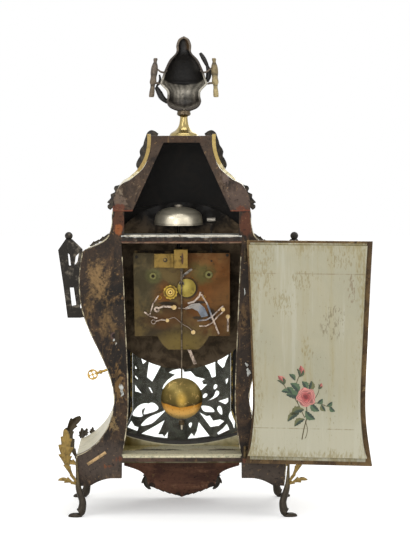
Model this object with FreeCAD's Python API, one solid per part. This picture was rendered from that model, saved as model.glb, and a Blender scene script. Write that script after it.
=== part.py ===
# Waisted cartel clock on four scrolled feet, with its rear door standing open.
# Frame: +Z up, the dial faces +Y, the rear door faces -Y, the origin lies on the
# surface that the clock stands on, below the middle of the case. Millimetres.

import FreeCAD
import Part
import math
import os

V = FreeCAD.Vector
UP = V(0, 0, 1)
BACK_TO_FRONT = V(0, 1, 0)
ACROSS = V(1, 0, 0)

# Case: depth, board thicknesses and the levels of its joints.
CASE_DEPTH = 150.0
REAR_Y = -CASE_DEPTH / 2
FRONT_Y = CASE_DEPTH / 2
REAR_FRAME_T = 14.0
FRONT_BOARD_T = 12.0
WALL_T = 8.0
NECK_Z = 447.0
SKIRT_BOTTOM_Z = 44.0
WALL_REAR_Y = REAR_Y + REAR_FRAME_T
WALL_FRONT_Y = FRONT_Y - FRONT_BOARD_T

# Right half of the case outline, as (x, z) points from the neck down to the skirt.
NECK = [(100.0, NECK_Z), (100.6, 434), (102.6, 420), (107.6, 409), (117, 401), (128.7, 395.3), (139, 391.6)]
SHOULDER = [(139, 391.6), (143, 388.6), (144.6, 383)]
BELLY_TO_FLARE = [
    (144.6, 383), (148.8, 344), (144.3, 302), (132, 268), (116.2, 234.5), (103.2, 200.6),
    (98.5, 169), (100.4, 155), (111.5, 124), (129.8, 102), (154, 89),
]
SKIRT = [(154, 89), (150, SKIRT_BOTTOM_Z)]
SKIRT_SOLE = [(150, SKIRT_BOTTOM_Z), (133, 45)]
SKIRT_ARCH = [(133, 45), (124, 50), (112, 54.2), (100, 55.5)]
SKIRT_END = [(100, 55.5), (88, 55.5)]
# Towards the front the shoulder sinks and the flare rises: (middle z, reach in z, shift in z).
FRONT_SHIFTS = [(392.0, 52.0, -6.5), (108.0, 40.0, 4.0)]

# Rear doorway: right half of its waisted edge, and the rails above and below it.
DOORWAY = [
    (87.5, 91), (84.5, 105), (81, 130), (78.6, 160), (78.4, 183), (79.3, 215),
    (81, 255), (84.4, 340), (87.5, 401),
]
DOORWAY_BOTTOM_Z = 91.0
DOORWAY_TOP_Z = 401.0
BELL_SHELF_TOP_Z = 412.0
BELL_SHELF_DEPTH = 45.0
BOTTOM_RAIL_Z = 80.0
BOTTOM_RAIL_DEPTH = 35.0
NECK_POST_INNER_X = 83.5
BASE_BOARD_Z = 82.0
BASE_BOARD_T = 8.0
BASE_BOARD_HALF = 130.0

# Hood: right half of its outline, thicknesses and its open back.
HOOD_Z = NECK_Z + 0.2
HOOD_TOP_Z = 556.5
HOOD = [
    (100.2, HOOD_Z), (99.7, 458), (97.9, 469.5), (92.8, 479.6), (85.5, 487.5), (77, 491.5),
    (66, 499.5), (56, 509), (49.3, 521.6), (45.2, 536), (44, HOOD_TOP_Z),
]
HOOD_FRAME_T = 12.0
HOOD_WALL_T = 6.0
HOOD_GAP_TOP_HALF = 26.0
HOOD_GAP_TOP_Z = 546.9
HOOD_GAP_BOTTOM_HALF = 71.5
HOOD_TOP_T = 6.0
HOOD_BOARD_Z = 553.0
HOOD_BEAD_OUTER = [
    (78, 494.2), (75.6, 497), (65.9, 505.7), (59.4, 514.4), (54.3, 524.5), (50.9, 536), (49.8, 559),
]
HOOD_BEAD_INNER = [(44.5, 559), (45.7, 536), (49.9, 521.8), (56.5, 509.4), (66.3, 500), (78, 491.6)]
HOOD_BEAD_DEPTH = 8.0
HOOD_MOUNT_OUTER = [
    (34.5, 556), (39, 560.5), (45.5, 562), (52, 558.5), (56, 549), (59.5, 535), (63, 526), (65, 517),
    (68, 510), (71.5, 502), (69, 497), (80, 488), (90, 482), (97, 475), (103.5, 469), (109, 463),
    (112, 456), (111.5, 448), (108, 441.5),
]
HOOD_MOUNT_INNER = [
    (108, 441.5), (102.5, 446), (94, 452), (91, 462), (86, 472), (76, 481), (64, 489), (54, 499),
    (45, 512), (40.5, 528), (38.5, 545), (34.5, 556),
]
HOOD_MOUNT_Y = (FRONT_Y, 80.0)

# Rear door: a lipped board whose plug fills the doorway, hung on two butt hinges.
DOOR_OPEN_DEG = 171.0
DOOR_GAP = 0.4
DOOR_LIP_T = 6.0
DOOR_PLUG_T = 8.0
DOOR_LIP_HINGE_SIDE = 2.0
DOOR_LIP_FREE_SIDE = 5.0
DOOR_PLUG_GAP = 1.2
DOOR_PLUG_SIDE_GAP = 1.8
DOOR_BOTTOM_Z = 80.0
DOOR_TOP_Z = 406.0
DOOR_CLAMP_LOW_Z = 134.0
DOOR_CLAMP_HIGH_Z = 359.0
DOOR_HINGE_X = 92.5
DOOR_HINGE_Y = REAR_Y - 7.4
DOOR_HINGE_ZS = (95.0, 385.0)
HINGE_HALF = 9.0
HINGE_KNUCKLE_HALF = 3.2
HINGE_PIN_R = 1.2
HINGE_KNUCKLE_R = 2.4
HINGE_RUN = 0.1
HINGE_END_GAP = 0.3
HINGE_LEAF_T = 1.2
HINGE_DOOR_LEAF_W = 20.0
HINGE_CASE_LEAF_W = 11.0
HINGE_WEB_HALF = 0.6

# Turn button that holds the rear door shut.
BUTTON_X = -94.0
BUTTON_Z = 266.0
BUTTON_HALF = 9.0
BUTTON_W = 6.0
BUTTON_T = 2.8
BUTTON_POST_R = 2.0

# Dial, its dark backing disc and the glazed front door with the pierced fret.
DIAL_Z = 328.0
DIAL_R = 106.0
DIAL_Y = (48.0, 50.0)
DIAL_PLATE_R = 126.0
DIAL_PLATE_HALF_W = 90.0
DIAL_PLATE_Y = (45.0, 48.0)
DIAL_POST_R = 5.0
DIAL_POST_RING_R = 117.0
DIAL_POST_DEGS = (44.0, 136.0, 224.0, 316.0)
WINDING_HOLE_R = 5.5
DIAL_OPENING_R = 102.0
LOWER_OPENING_HALF = 75.0
LOWER_OPENING_BEND_Z = 135.0
LOWER_OPENING_CORNER = (90.0, 104.0)
LOWER_OPENING_BOTTOM_Z = 84.0
FRONT_DOOR_Y = (75.4, 83.4)
FRONT_DOOR_BAR_W = 12.0
FRONT_DOOR_REBATE_W = 4.0
FRONT_DOOR_REBATE_Y = 78.6
GLASS_Y = (75.9, 78.3)
FRET_Y = (79.0, 81.4)
FRET_TOP_Z = 238.0
FRONT_HINGE_X = 118.0
FRONT_HINGE_Y = 81.0
FRONT_HINGE_ZS = (300.0, 356.0)
FRONT_KNUCKLE_R = 3.0
FRONT_KNUCKLE_HALF = 4.0
FRONT_ARM_X = 108.0
FRONT_ARM_HALF_T = 1.5
FRONT_EAR_XS = (115.0, 124.0)
FRONT_EAR_END_Y = 84.0
FRONT_EAR_ZS = (4.3, 8.0)
FRONT_EAR_STRIP = (2.4, 2.0)

# Piercings of the fret: angular ones are closed by straight edges, curled ones by smooth curves.
FRET_ANGULAR = [
    [(-65, 225), (-50, 221), (-52, 211), (-59, 205)],
    [(-48, 221), (-28, 214), (-32, 202), (-41, 185), (-45, 178), (-53, 185), (-51, 201)],
    [(-71, 203), (-68, 198), (-71, 198)],
    [(-71, 188), (-67, 184), (-67, 181), (-71, 185)],
    [(-71, 174), (-68, 169), (-61, 160), (-66, 162), (-71, 163)],
    [(-51, 170), (-48, 169), (-44, 161), (-46, 161)],
    [(-77, 118), (-72, 110), (-66, 108), (-68, 102), (-83, 108)],
    [(-26, 119), (-32, 105), (-36, 97), (-29, 97), (-27, 93), (-21, 101), (-22, 91), (-41, 93), (-62, 98),
     (-39, 111)],
    [(36, 214), (52, 219), (51, 204), (52, 186), (46, 184), (42, 195), (35, 203)],
    [(55, 222), (66, 226), (72, 229), (71, 217), (68, 211), (65, 201), (62, 199), (55, 207)],
    [(67, 181), (71, 184), (70, 177), (68, 174)],
    [(56, 148), (71, 153), (71, 147), (67, 143)],
    [(27, 131), (38, 125), (43, 126), (48, 118), (59, 120), (65, 117), (57, 110), (44, 108)],
    [(26, 116), (43, 94), (20, 91), (9, 90), (15, 99), (19, 94), (23, 102)],
    [(54, 99), (63, 106), (69, 113), (73, 104), (56, 96)],
    [(-20, 192), (-13, 196), (1, 199), (4, 193), (14, 194), (21, 186), (36, 182), (31, 179), (33, 174),
     (39, 174), (30, 165), (16, 171), (0, 174), (-15, 171), (-30, 167), (-27, 174), (-21, 181), (-10, 189)],
]
FRET_CURLED = [
    [(-47, 142), (-54, 145), (-63, 143), (-71, 136), (-75, 127), (-67, 124), (-60, 125), (-61, 132),
     (-55, 138)],
    [(-58, 130), (-38, 142), (-36, 139), (-55, 128)],
    [(-26, 134), (-35, 130), (-58, 117), (-62, 111), (-50, 112), (-38, 120)],
    [(52, 174), (54, 173), (52, 167), (50, 166)],
    [(55, 164), (57, 162), (51, 153), (40, 149), (49, 156)],
    [(37, 160), (39, 159), (35, 153), (33, 153)],
    [(31, 141), (37, 141), (48, 136), (50, 132), (44, 131), (31, 136)],
    [(56, 140), (62, 132), (61, 127), (58, 129)],
    [(74, 131), (81, 113), (80, 106), (78, 112)],
    [(13, 115), (15, 115), (15, 110), (13, 107), (11, 110)],
]

# Lock in the left wall near the front, with its key.
LOCK_Y = 40.0
LOCK_ORIGIN = V(-104.3, LOCK_Y, 204.0)
LOCK_TILT_DEG = 18.0
KEY_STEM_R = 2.0
KEY_OUTSIDE = 24.5
KEY_INSIDE = 17.0
KEY_BOW_R = 8.0
KEY_BOW_T = 3.0
KEY_EYE_R = 2.2
KEY_EYE_RING_R = 3.9
KEY_RUN = 0.4
LOCK_BOX = (10.0, 30.0, 26.0)
LOCK_ROOM_R = 7.5
LOCK_ROOM_L = 7.0
LOCK_PLATE_T = 1.5
LOCK_REACH = 30.0
KEY_COLLAR_R = 3.2
KEY_BIT = (4.5, 1.8, 6.2)

# Movement: plates, arbors and trains. Positions are (x, z) between the plates.
PLATE_T = 3.0
BACK_PLATE_Y = -38.0
FRONT_PLATE_Y = 15.0
PLATE_INNER_REAR = BACK_PLATE_Y + PLATE_T
PLATE_FRONT_FACE = FRONT_PLATE_Y + PLATE_T
PLATE_TOP_Z = 383.5
PLATE_HALF = 71.0
PLATE_BOTTOM_Z = 261.0
CENTRE = (0.0, DIAL_Z)
GOING_BARREL = (32.5, 318.0)
STRIKE_BARREL = (-32.5, 318.0)
THIRD = (16.4, 346.9)
ESCAPE = (0.0, 360.0)
ANCHOR = (0.0, 380.0)
PIN_WHEEL = (-40.0, 351.2)
MINUTE_STUD = (0.0, DIAL_Z - 14.4)
HAMMER = (44.0, 372.0)
LEVER_STUD = (-36.6, 300.7)
STAR_STUD = (-16.6, 326.6)
PILLARS = [(-62.0, 372.0), (62.0, 372.0), (-62.0, 276.0), (62.0, 276.0)]
PILLAR_R = 4.0
PIVOT_RUN = 0.1
FINE_ARBOR_R = 1.0
ARBOR_R = 1.5
CENTRE_ARBOR_R = 2.0
BARREL_ARBOR_R = 3.0
STUD_R = 1.5
WINDING_SQUARE = 4.2
BARREL_R = 26.0
GREAT_TEETH = 72
GREAT_MODULE = 0.85
GREAT_PINION = 8
STRIKE_GREAT_YS = (-33.5, -30.5)
CENTRE_TEETH = 84
CENTRE_MODULE = 0.55
THIRD_PINION = 7
THIRD_TEETH = 77
THIRD_MODULE = 0.5
ESCAPE_PINION = 7
ESCAPE_TEETH = 30
ESCAPE_R = 14.1
PIN_TEETH = 60
LIFT_PIN_RING_R = 13.0
LIFT_PIN_R = 0.8
CANNON_TEETH = 12
MINUTE_TEETH = 36
CANNON_MODULE = 0.6
MINUTE_PINION = 10
HOUR_TEETH = 40
HOUR_MODULE = 0.576
CANNON_PIPE_R = 2.2
HOUR_PIPE_BORE_R = 2.35
HOUR_PIPE_R = 3.6
COVER_DISC = (7.5, 332.5)
COVER_DISC_R = 13.5
STAR_R = 11.0
# Tooth form, in modules and in shares of the pitch: addendum, dedendum, half tip, half root.
WHEEL_TOOTH = (0.95, 1.25, 0.07, 0.20)
PINION_LEAF = (0.55, 1.35, 0.08, 0.15)

# Pendulum: rod, lens-shaped bob and rating nut, hung at the anchor's axis.
PENDULUM_Y = -50.0
ROD_R = 1.3
ROD_TOP_Z = 366.0
ROD_BOTTOM_Z = 124.0
BOB_Z = 170.0
BOB_R = 30.5
BOB_HALF_T = 10.0
BOB_RIM_HALF = 1.0
BOB_BORE_R = 1.4
NUT_Z = 131.0
NUT_H = 7.0
NUT_R = 4.5

# Bell above the shelf, its stand and its hammer.
BELL_X = -4.4
BELL_Y = -12.0
BELL_OUTER = [(39, 424), (37.4, 426.5), (35.6, 430.5), (32.2, 437), (25.5, 442.9), (15.7, 447.6), (2.7, 450.4)]
BELL_INNER = [(2.7, 448), (14.8, 445.3), (23.9, 440.9), (30.2, 435.5), (33.4, 430), (35.4, 426), (37, 424)]
BELL_POST_R = 2.5
BELL_NUT_R = 6.0
BELL_NUT_Z = 450.8
HAMMER_HEAD_Z = 431.0
HAMMER_HEAD_X = (37.6, 50.0)
HAMMER_HEAD_R = 4.0

# Feet: right rear foot, as (z, x, y, half width across, half depth) sections of leg and leaf.
FOOT_LEG = [
    (3, 154, -82, 11, 9), (12, 149, -80, 6.5, 6), (25, 145.5, -78, 5, 5), (36, 147.5, -78, 5.5, 5.5),
    (45, 152, -78.5, 6.5, 6), (56, 157.5, -80, 4.2, 4.2), (70, 162, -80.5, 3.6, 3.6),
    (86, 165, -81, 4.5, 3.2),
]
FOOT_LEAF = [
    (80, 164.5, -81, 4, 2.4), (90, 166, -81, 10, 2.0), (103, 167, -80, 14, 1.8), (114, 167, -80, 11.5, 1.8),
    (122, 168, -79.5, 8, 1.8), (131, 171, -79, 2.6, 1.4),
]
FOOT_LEAF_TURN_DEG = 28.0
FOOT_LEAF_NOTCHES = [(154.5, 96), (180, 94), (153.5, 111), (180.5, 110), (158, 121), (178.5, 120)]
FOOT_NOTCH_R = 2.4
FOOT_SPRIG = [(154, 47, 3.6), (164, 49, 3.4), (174, 53, 2.4), (181.5, 57, 0.8)]
FOOT_SPRIG_Y = -80.0
SOLE_HALF = (14.0, 9.5)
SOLE_T = 5.0
SOLE_TURN_DEG = -32.0
RIGHT_FOOT_SHIFT = 3.0

# Openwork scroll mounts on the front corners of the belly.
CORNER_MOUNT_Y = (61.0, 72.0)
CORNER_MOUNT = [
    (186.6, 381), (175.5, 397), (165.5, 397), (150, 382), (149.6, 362), (149.9, 335), (152.5, 308),
    (154, 292), (142.8, 292), (138.8, 280), (154, 278), (172.8, 278), (179, 328),
]
CORNER_MOUNT_GAPS = [
    [(172.3, 376.5), (169.2, 374), (167.3, 357), (170.5, 357)],
    [(160.2, 371), (155.2, 376), (157.5, 363), (162, 357.6)],
    [(169.5, 324), (163.2, 324), (159.5, 297), (166.5, 295.5)],
]
CORNER_BALL = (170.6, 402.0)
CORNER_BALL_R = 6.0

# Apron: right half of the drop below the front board.
APRON_TOP_Z = 55.5
APRON_CURVE = [(88, 51.5), (72, 46.5), (59, 39.5), (53.5, 33)]
APRON_STEP = [(53.5, 33), (51, 20)]
APRON_DROP = [(51, 20), (36, 15.5), (19, 10), (0, 3)]

# Finial: a turned base and a cast urn that is open at the back.
FINIAL_X = 3.5
FINIAL_BASE = [
    (0, HOOD_BOARD_Z), (20.7, HOOD_BOARD_Z), (20.7, 559), (14, 563.5), (8.4, 568), (6.3, 575), (5.8, 583),
    (10.4, 585.5), (10.4, 588), (7, 590), (0, 590),
]
URN_BOWL = [(7, 590.2), (20, 596), (25, 604.7), (23.2, 613), (25, 621), (36.4, 630.5)]
URN_DOME = [(36.4, 633), (34.4, 638), (31.4, 646.5), (26, 656), (19.4, 667), (9.6, 678)]
URN_KNOB = [(9.6, 678), (11, 688), (7.5, 697.5), (0, 701.5)]
URN_CAVITY = [
    (0, 594), (15.5, 598.5), (21.5, 605), (19.9, 613), (21.6, 622), (32.4, 631.7), (31, 637.5),
    (28, 646), (22.6, 655.5), (15.6, 666), (6.4, 678.5), (7.6, 688), (4.6, 695.5), (0, 698),
]
URN_CUT_Y = -3.0
HANDLE_PARTS = [(612, 631, 3.6), (631, 660, 5.2), (660, 669, 3.0)]
HANDLE_XS = (-44.5, 46.0)
HANDLE_ARMS = [(652.5, 22.0, 1.6), (630.8, 33.0, 1.8)]
BRANCH_Y = 8.0
BRANCH_RIGHT = [(24, 677), (27.7, 671.5), (31.9, 664), (35.8, 655.5), (37.8, 647), (35, 637), (27, 633)]
BRANCH_LEFT = [(-36, 632), (-40, 627), (-37, 620.5), (-33.5, 612.5), (-29, 607), (-21, 602.5)]
BRANCH_R = 2.6

# Hands at ten past ten, seen from the front.
HOUR_DEG = 305.0
MINUTE_DEG = 60.0
HOUR_HAND_Y = (54.0, 55.4)
MINUTE_HAND_Y = (57.6, 58.8)
HOUR_HAND_LENGTH = 62.0
MINUTE_HAND_LENGTH = 90.0

# Strike work on the rear of the back plate, as straps along (x, z) points with a width.
STRIKE_WORK_Y = (-41.0, BACK_PLATE_Y)
BLUED_LEVER = [
    (5, 303), (15, 309), (26, 310), (34, 303), (39, 291), (29, 289), (24, 298), (15, 302.5), (6, 300.5),
]
STRIKE_STRAPS = [
    ([(9, 309.5), (18, 312), (26, 320), (28, 326.5)], 2.6),
    ([(29, 323), (37, 310), (42, 297), (45, 288.5), (51, 274), (55, 264)], 2.4),
    ([(23, 284), (36, 285), (44, 289.5), (52, 297), (61, 306)], 2.0),
    ([(26, 276), (36, 276), (45, 281), (54, 291), (62, 298)], 1.8),
    ([(-34, 321), (-42, 309), (-47, 292)], 1.8),
    ([(-55, 297), (-47, 291), (-36, 287.5)], 2.2),
    ([(-38, 283), (-30, 285.5), (-22, 284.5)], 1.8),
    ([(68, 287), (68, 268)], 2.6),
]
STRIKE_NUTS = [
    (-42, 350, 5.0), (40, 352, 5.5), (68, 290, 3.2), (17, 267, 3.2), (-21, 284.5, 2.6), (61, 300.5, 3.0),
]
STRIP_LEVER = [(7, 250), (20, 219)]
STRIP_LEVER_W = 4.5
STRIP_LEVER_Y = (-34.5, -32.5)
LEVER_ARM = [LEVER_STUD, (-27, 305.5), (-11, 304)]
LEVER_KNOB = (-11, 304, 3.4)


def point(p, y):
    """Puts an (x, z) pair on the plane of constant y."""
    return V(p[0], y, p[1])


def edge(points, y):
    """Joins two points by a line and more by a smooth curve."""
    if len(points) == 2:
        return Part.makeLine(point(points[0], y), point(points[1], y))
    curve = Part.BSplineCurve()
    curve.interpolate([point(p, y) for p in points])
    return curve.toShape()


def board(runs, ys):
    """Cuts a board from runs of (x, z) points that follow each other round its outline."""
    wire = Part.Wire([edge(run, ys[0]) for run in runs])
    return Part.Face(wire).extrude(V(0, ys[1] - ys[0], 0))


def straight_runs(points):
    """Turns corner points into the straight runs of a closed outline."""
    return [[points[i - 1], points[i]] for i in range(len(points))]


def smooth_board(points, ys):
    """Cuts a board inside one closed smooth curve."""
    curve = Part.BSplineCurve()
    curve.interpolate(Points=[point(p, ys[0]) for p in points], PeriodicFlag=True)
    return Part.Face(Part.Wire([curve.toShape()])).extrude(V(0, ys[1] - ys[0], 0))


def other_half(points):
    """Mirrors a run to the left half, in the order that carries the outline on."""
    return [(-x, z) for x, z in reversed(points)]


def mirrored(shape):
    """Mirrors a right-hand piece to the left."""
    return shape.mirror(V(0, 0, 0), ACROSS)


def box(xs, ys, zs):
    """Makes a block between two values on each axis."""
    return Part.makeBox(xs[1] - xs[0], ys[1] - ys[0], zs[1] - zs[0], V(xs[0], ys[0], zs[0]))


def rod(place, radius, ys):
    """Makes a round bar along Y at an (x, z) place."""
    return Part.makeCylinder(radius, ys[1] - ys[0], point(place, ys[0]), BACK_TO_FRONT)


def upright(x, y, radius, zs):
    """Makes a round bar along Z."""
    return Part.makeCylinder(radius, zs[1] - zs[0], V(x, y, zs[0]), UP)


def joined(first, others):
    """Fuses pieces into one solid."""
    return first.fuse(others).removeSplitter()


def group(shapes):
    """Keeps separate solids together in one node."""
    return Part.makeCompound(shapes)


def normals(points):
    """Gives the inward unit normal at each point of a chain that runs downwards on the right."""
    found = []
    last = len(points) - 1
    for i in range(len(points)):
        a = points[max(i - 1, 0)]
        b = points[min(i + 1, last)]
        length = math.hypot(b[0] - a[0], b[1] - a[1])
        found.append(((b[1] - a[1]) / length, -(b[0] - a[0]) / length))
    return found


def at_front(run):
    """Moves a run of the rear outline to where the front outline has it."""
    moved = []
    for x, z in run:
        shifts = [amount * max(0.0, 1.0 - abs(z - middle) / reach) for middle, reach, amount in FRONT_SHIFTS]
        moved.append((x, z + sum(shifts)))
    return moved


def band_wire(runs, thickness, y):
    """Closed wire round a curved wall of even thickness inside a chain of outline runs."""
    chain = [runs[0][0]]
    for run in runs:
        chain.extend(run[1:])
    inner = [(p[0] + n[0] * thickness, p[1] + n[1] * thickness) for p, n in zip(chain, normals(chain))]
    inner_runs = []
    start = 0
    for run in runs:
        stop = start + len(run)
        inner_runs.append(list(reversed(inner[start:stop])))
        start = stop - 1
    closing = [[chain[-1], inner[-1]]]
    opening = [[inner[0], chain[0]]]
    return Part.Wire([edge(run, y) for run in runs + closing + list(reversed(inner_runs)) + opening])


def strap(points, width, ys):
    """Makes a flat bar of even width along a line of points."""
    sides = normals(points)
    half = width / 2
    left = [(p[0] + n[0] * half, p[1] + n[1] * half) for p, n in zip(points, sides)]
    right = [(p[0] - n[0] * half, p[1] - n[1] * half) for p, n in zip(points, sides)]
    return board(straight_runs(left + list(reversed(right))), ys)


def tube(points, radius, y):
    """Round bars along a line of points, with a ball at each bend."""
    pieces = []
    for a, b in zip(points, points[1:]):
        start = point(a, y)
        along = point(b, y) - start
        pieces.append(Part.makeCylinder(radius, along.Length, start, along))
    pieces.extend(Part.makeSphere(radius, point(p, y)) for p in points)
    return pieces


def turned(profile, x, y):
    """Turns a closed (r, z) profile about the upright axis at x, y."""
    wire = Part.makePolygon([V(x + r, y, z) for r, z in profile] + [V(x + profile[0][0], y, profile[0][1])])
    return Part.Face(wire).revolve(V(x, y, 0), UP, 360)


def front_outline():
    """Gives the closed runs of the whole front outline, from the neck round by the skirt."""
    rear = [NECK, SHOULDER, BELLY_TO_FLARE, SKIRT, SKIRT_SOLE, SKIRT_ARCH, SKIRT_END]
    half = [at_front(run) for run in rear]
    bottom = [[half[-1][-1], other_half(half[-1])[0]]]
    left = [other_half(run) for run in reversed(half)]
    top = [[left[-1][-1], half[0][0]]]
    return half + bottom + left + top


def rear_stile():
    """Right rear stile: the outline outside, the waisted doorway and the neck post inside."""
    inner = [
        [SKIRT_END[-1], DOORWAY[0]], DOORWAY, [DOORWAY[-1], (DOORWAY[-1][0], BELL_SHELF_TOP_Z)],
        [(DOORWAY[-1][0], BELL_SHELF_TOP_Z), (NECK_POST_INNER_X, BELL_SHELF_TOP_Z)],
        [(NECK_POST_INNER_X, BELL_SHELF_TOP_Z), (NECK_POST_INNER_X, NECK_Z)],
        [(NECK_POST_INNER_X, NECK_Z), NECK[0]],
    ]
    outer = [NECK, SHOULDER, BELLY_TO_FLARE, SKIRT, SKIRT_SOLE, SKIRT_ARCH, SKIRT_END]
    return board(outer + inner, (REAR_Y, WALL_REAR_Y))


def side_wall():
    """Right side wall: a bent board that follows the outline between the rear and front frames."""
    rear = [NECK, SHOULDER, BELLY_TO_FLARE, SKIRT]
    front = [at_front(run) for run in rear]
    ends = [band_wire(rear, WALL_T, WALL_REAR_Y), band_wire(front, WALL_T, WALL_FRONT_Y)]
    return Part.makeLoft(ends, True, True)


def opening_outline(grow, ys):
    """Solid of the front opening: a round dial light that runs into a flared lower light."""
    radius = DIAL_OPENING_R + grow
    half = LOWER_OPENING_HALF + grow
    join_z = DIAL_Z - math.sqrt(radius * radius - half * half)
    corner = (LOWER_OPENING_CORNER[0] + grow, LOWER_OPENING_CORNER[1] - grow / 2)
    y = ys[0]
    flare = [(half, LOWER_OPENING_BEND_Z), (half + 4, LOWER_OPENING_BEND_Z - 13), corner]
    dial = Part.Arc(point((half, join_z), y), point((0, DIAL_Z + radius), y), point((-half, join_z), y))
    low_point = point((0, LOWER_OPENING_BOTTOM_Z - grow), y)
    sill = Part.Arc(point((-corner[0], corner[1]), y), low_point, point(corner, y))
    wire = Part.Wire([
        dial.toShape(),
        edge([(-half, join_z), (-half, LOWER_OPENING_BEND_Z)], y),
        edge([(-x, z) for x, z in flare], y),
        sill.toShape(),
        edge(list(reversed(flare)), y),
        edge([(half, LOWER_OPENING_BEND_Z), (half, join_z)], y),
    ])
    return Part.Face(wire).extrude(V(0, ys[1] - y, 0))


def front_board():
    """Front board with the opening for dial and pendulum."""
    ys = (WALL_FRONT_Y, FRONT_Y)
    return board(front_outline(), ys).cut(opening_outline(3.0, ys))


def front_apron():
    """Shaped drop below the front board."""
    corner = (APRON_CURVE[0][0], APRON_TOP_Z)
    half = [[corner, APRON_CURVE[0]], APRON_CURVE, APRON_STEP, APRON_DROP]
    left = [other_half(run) for run in reversed(half)]
    return board(half + left + [[(-corner[0], corner[1]), corner]], (WALL_FRONT_Y, FRONT_Y))


def hood_outline():
    """Closed runs of the hood outline."""
    top = [HOOD[-1], (-HOOD[-1][0], HOOD[-1][1])]
    foot = [(-HOOD[0][0], HOOD[0][1]), HOOD[0]]
    return [HOOD, top, other_half(HOOD), foot]


def hood_rear_frame():
    """Rear hood frame: two legs and a top bar round a tapered opening."""
    ys = (REAR_Y, REAR_Y + HOOD_FRAME_T)
    gap = straight_runs([
        (-HOOD_GAP_BOTTOM_HALF, HOOD_Z), (HOOD_GAP_BOTTOM_HALF, HOOD_Z),
        (HOOD_GAP_TOP_HALF, HOOD_GAP_TOP_Z), (-HOOD_GAP_TOP_HALF, HOOD_GAP_TOP_Z),
    ])
    return board(hood_outline(), ys).cut(board(gap, ys))


def hood_sides():
    """Two bent hood walls."""
    y0 = REAR_Y + HOOD_FRAME_T
    wire = band_wire([list(reversed(HOOD))], HOOD_WALL_T, y0)
    right = below_top(Part.Face(wire).extrude(V(0, WALL_FRONT_Y - y0, 0)))
    return group([right, mirrored(right)])


def below_top(shape):
    """Cuts the hood's walls down to its top board, which lies below the rear frame's top edge."""
    return shape.cut(box((-60, 60), (REAR_Y, FRONT_Y), (HOOD_BOARD_Z, HOOD_TOP_Z + 5)))


def hood_top_board():
    """Flat top between the hood walls, which carries the finial."""
    half = HOOD[-1][0] - HOOD_WALL_T - 0.5
    zs = (HOOD_BOARD_Z - HOOD_TOP_T, HOOD_BOARD_Z)
    return box((-half, half), (REAR_Y + HOOD_FRAME_T, WALL_FRONT_Y), zs)


def hood_beads():
    """Brass bead strips on the upper rear edges of the hood."""
    ends = [[HOOD_BEAD_OUTER[-1], HOOD_BEAD_INNER[0]], [HOOD_BEAD_INNER[-1], HOOD_BEAD_OUTER[0]]]
    right = board([HOOD_BEAD_OUTER, ends[0], HOOD_BEAD_INNER, ends[1]], (REAR_Y, REAR_Y + HOOD_BEAD_DEPTH))
    return group([right, mirrored(right)])


def hood_mounts():
    """Scrolled mounts along the front edges of the hood."""
    right = board([HOOD_MOUNT_OUTER, HOOD_MOUNT_INNER], HOOD_MOUNT_Y)
    return group([right, mirrored(right)])


def corner_mount():
    """Right openwork mount with its ball."""
    plate = board(straight_runs(CORNER_MOUNT), CORNER_MOUNT_Y)
    for gap in CORNER_MOUNT_GAPS:
        plate = plate.cut(board(straight_runs(gap), CORNER_MOUNT_Y))
    middle = (CORNER_MOUNT_Y[0] + CORNER_MOUNT_Y[1]) / 2
    return joined(plate, [Part.makeSphere(CORNER_BALL_R, point(CORNER_BALL, middle))])


def oval(centre, half_x, half_y, turn_deg):
    """Closed oval wire in a level plane, turned about its centre."""
    longer = max(half_x, half_y)
    shorter = min(half_x, half_y)
    wire = Part.Wire([Part.Ellipse(V(0, 0, 0), longer, shorter).toShape()])
    wire.rotate(V(0, 0, 0), UP, turn_deg if half_x >= half_y else turn_deg + 90)
    wire.translate(centre)
    return wire


def rear_right_foot():
    """Scrolled leg with a flat sole, a lug below the skirt, a sprig and an acanthus leaf."""
    first = FOOT_LEG[0]
    sole_wire = oval(V(first[1], first[2], 0), SOLE_HALF[0], SOLE_HALF[1], SOLE_TURN_DEG)
    sole = Part.Face(sole_wire).extrude(V(0, 0, SOLE_T))
    leg = Part.makeLoft([oval(V(x, y, z), a, b, 0) for z, x, y, a, b in FOOT_LEG], True)
    leaf = Part.makeLoft([oval(V(x, y, z), a, b, FOOT_LEAF_TURN_DEG) for z, x, y, a, b in FOOT_LEAF], True)
    for x, z in FOOT_LEAF_NOTCHES:
        leaf = leaf.cut(rod((x, z), FOOT_NOTCH_R, (REAR_Y - 30, REAR_Y + 30)))
    rings = [Part.Wire([Part.Circle(V(x, FOOT_SPRIG_Y, z), ACROSS, r).toShape()]) for x, z, r in FOOT_SPRIG]
    sprig = Part.makeLoft(rings, True)
    lug = box((134, 152), (REAR_Y, WALL_REAR_Y), (SKIRT_BOTTOM_Z - 4, SKIRT_BOTTOM_Z))
    foot = joined(sole, [leg, leaf, sprig, lug])
    skirt = straight_runs([(100, SKIRT_BOTTOM_Z), SKIRT[1], SKIRT[0], (100, SKIRT[0][1])])
    return foot.cut(board(skirt, (REAR_Y, FRONT_Y)))


def front_foot(rear_foot):
    """The same foot turned to the front."""
    return rear_foot.mirror(V(0, 0, 0), BACK_TO_FRONT)


def finial_base():
    """Turned base and stem of the finial."""
    return turned(FINIAL_BASE, FINIAL_X, 0)


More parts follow.
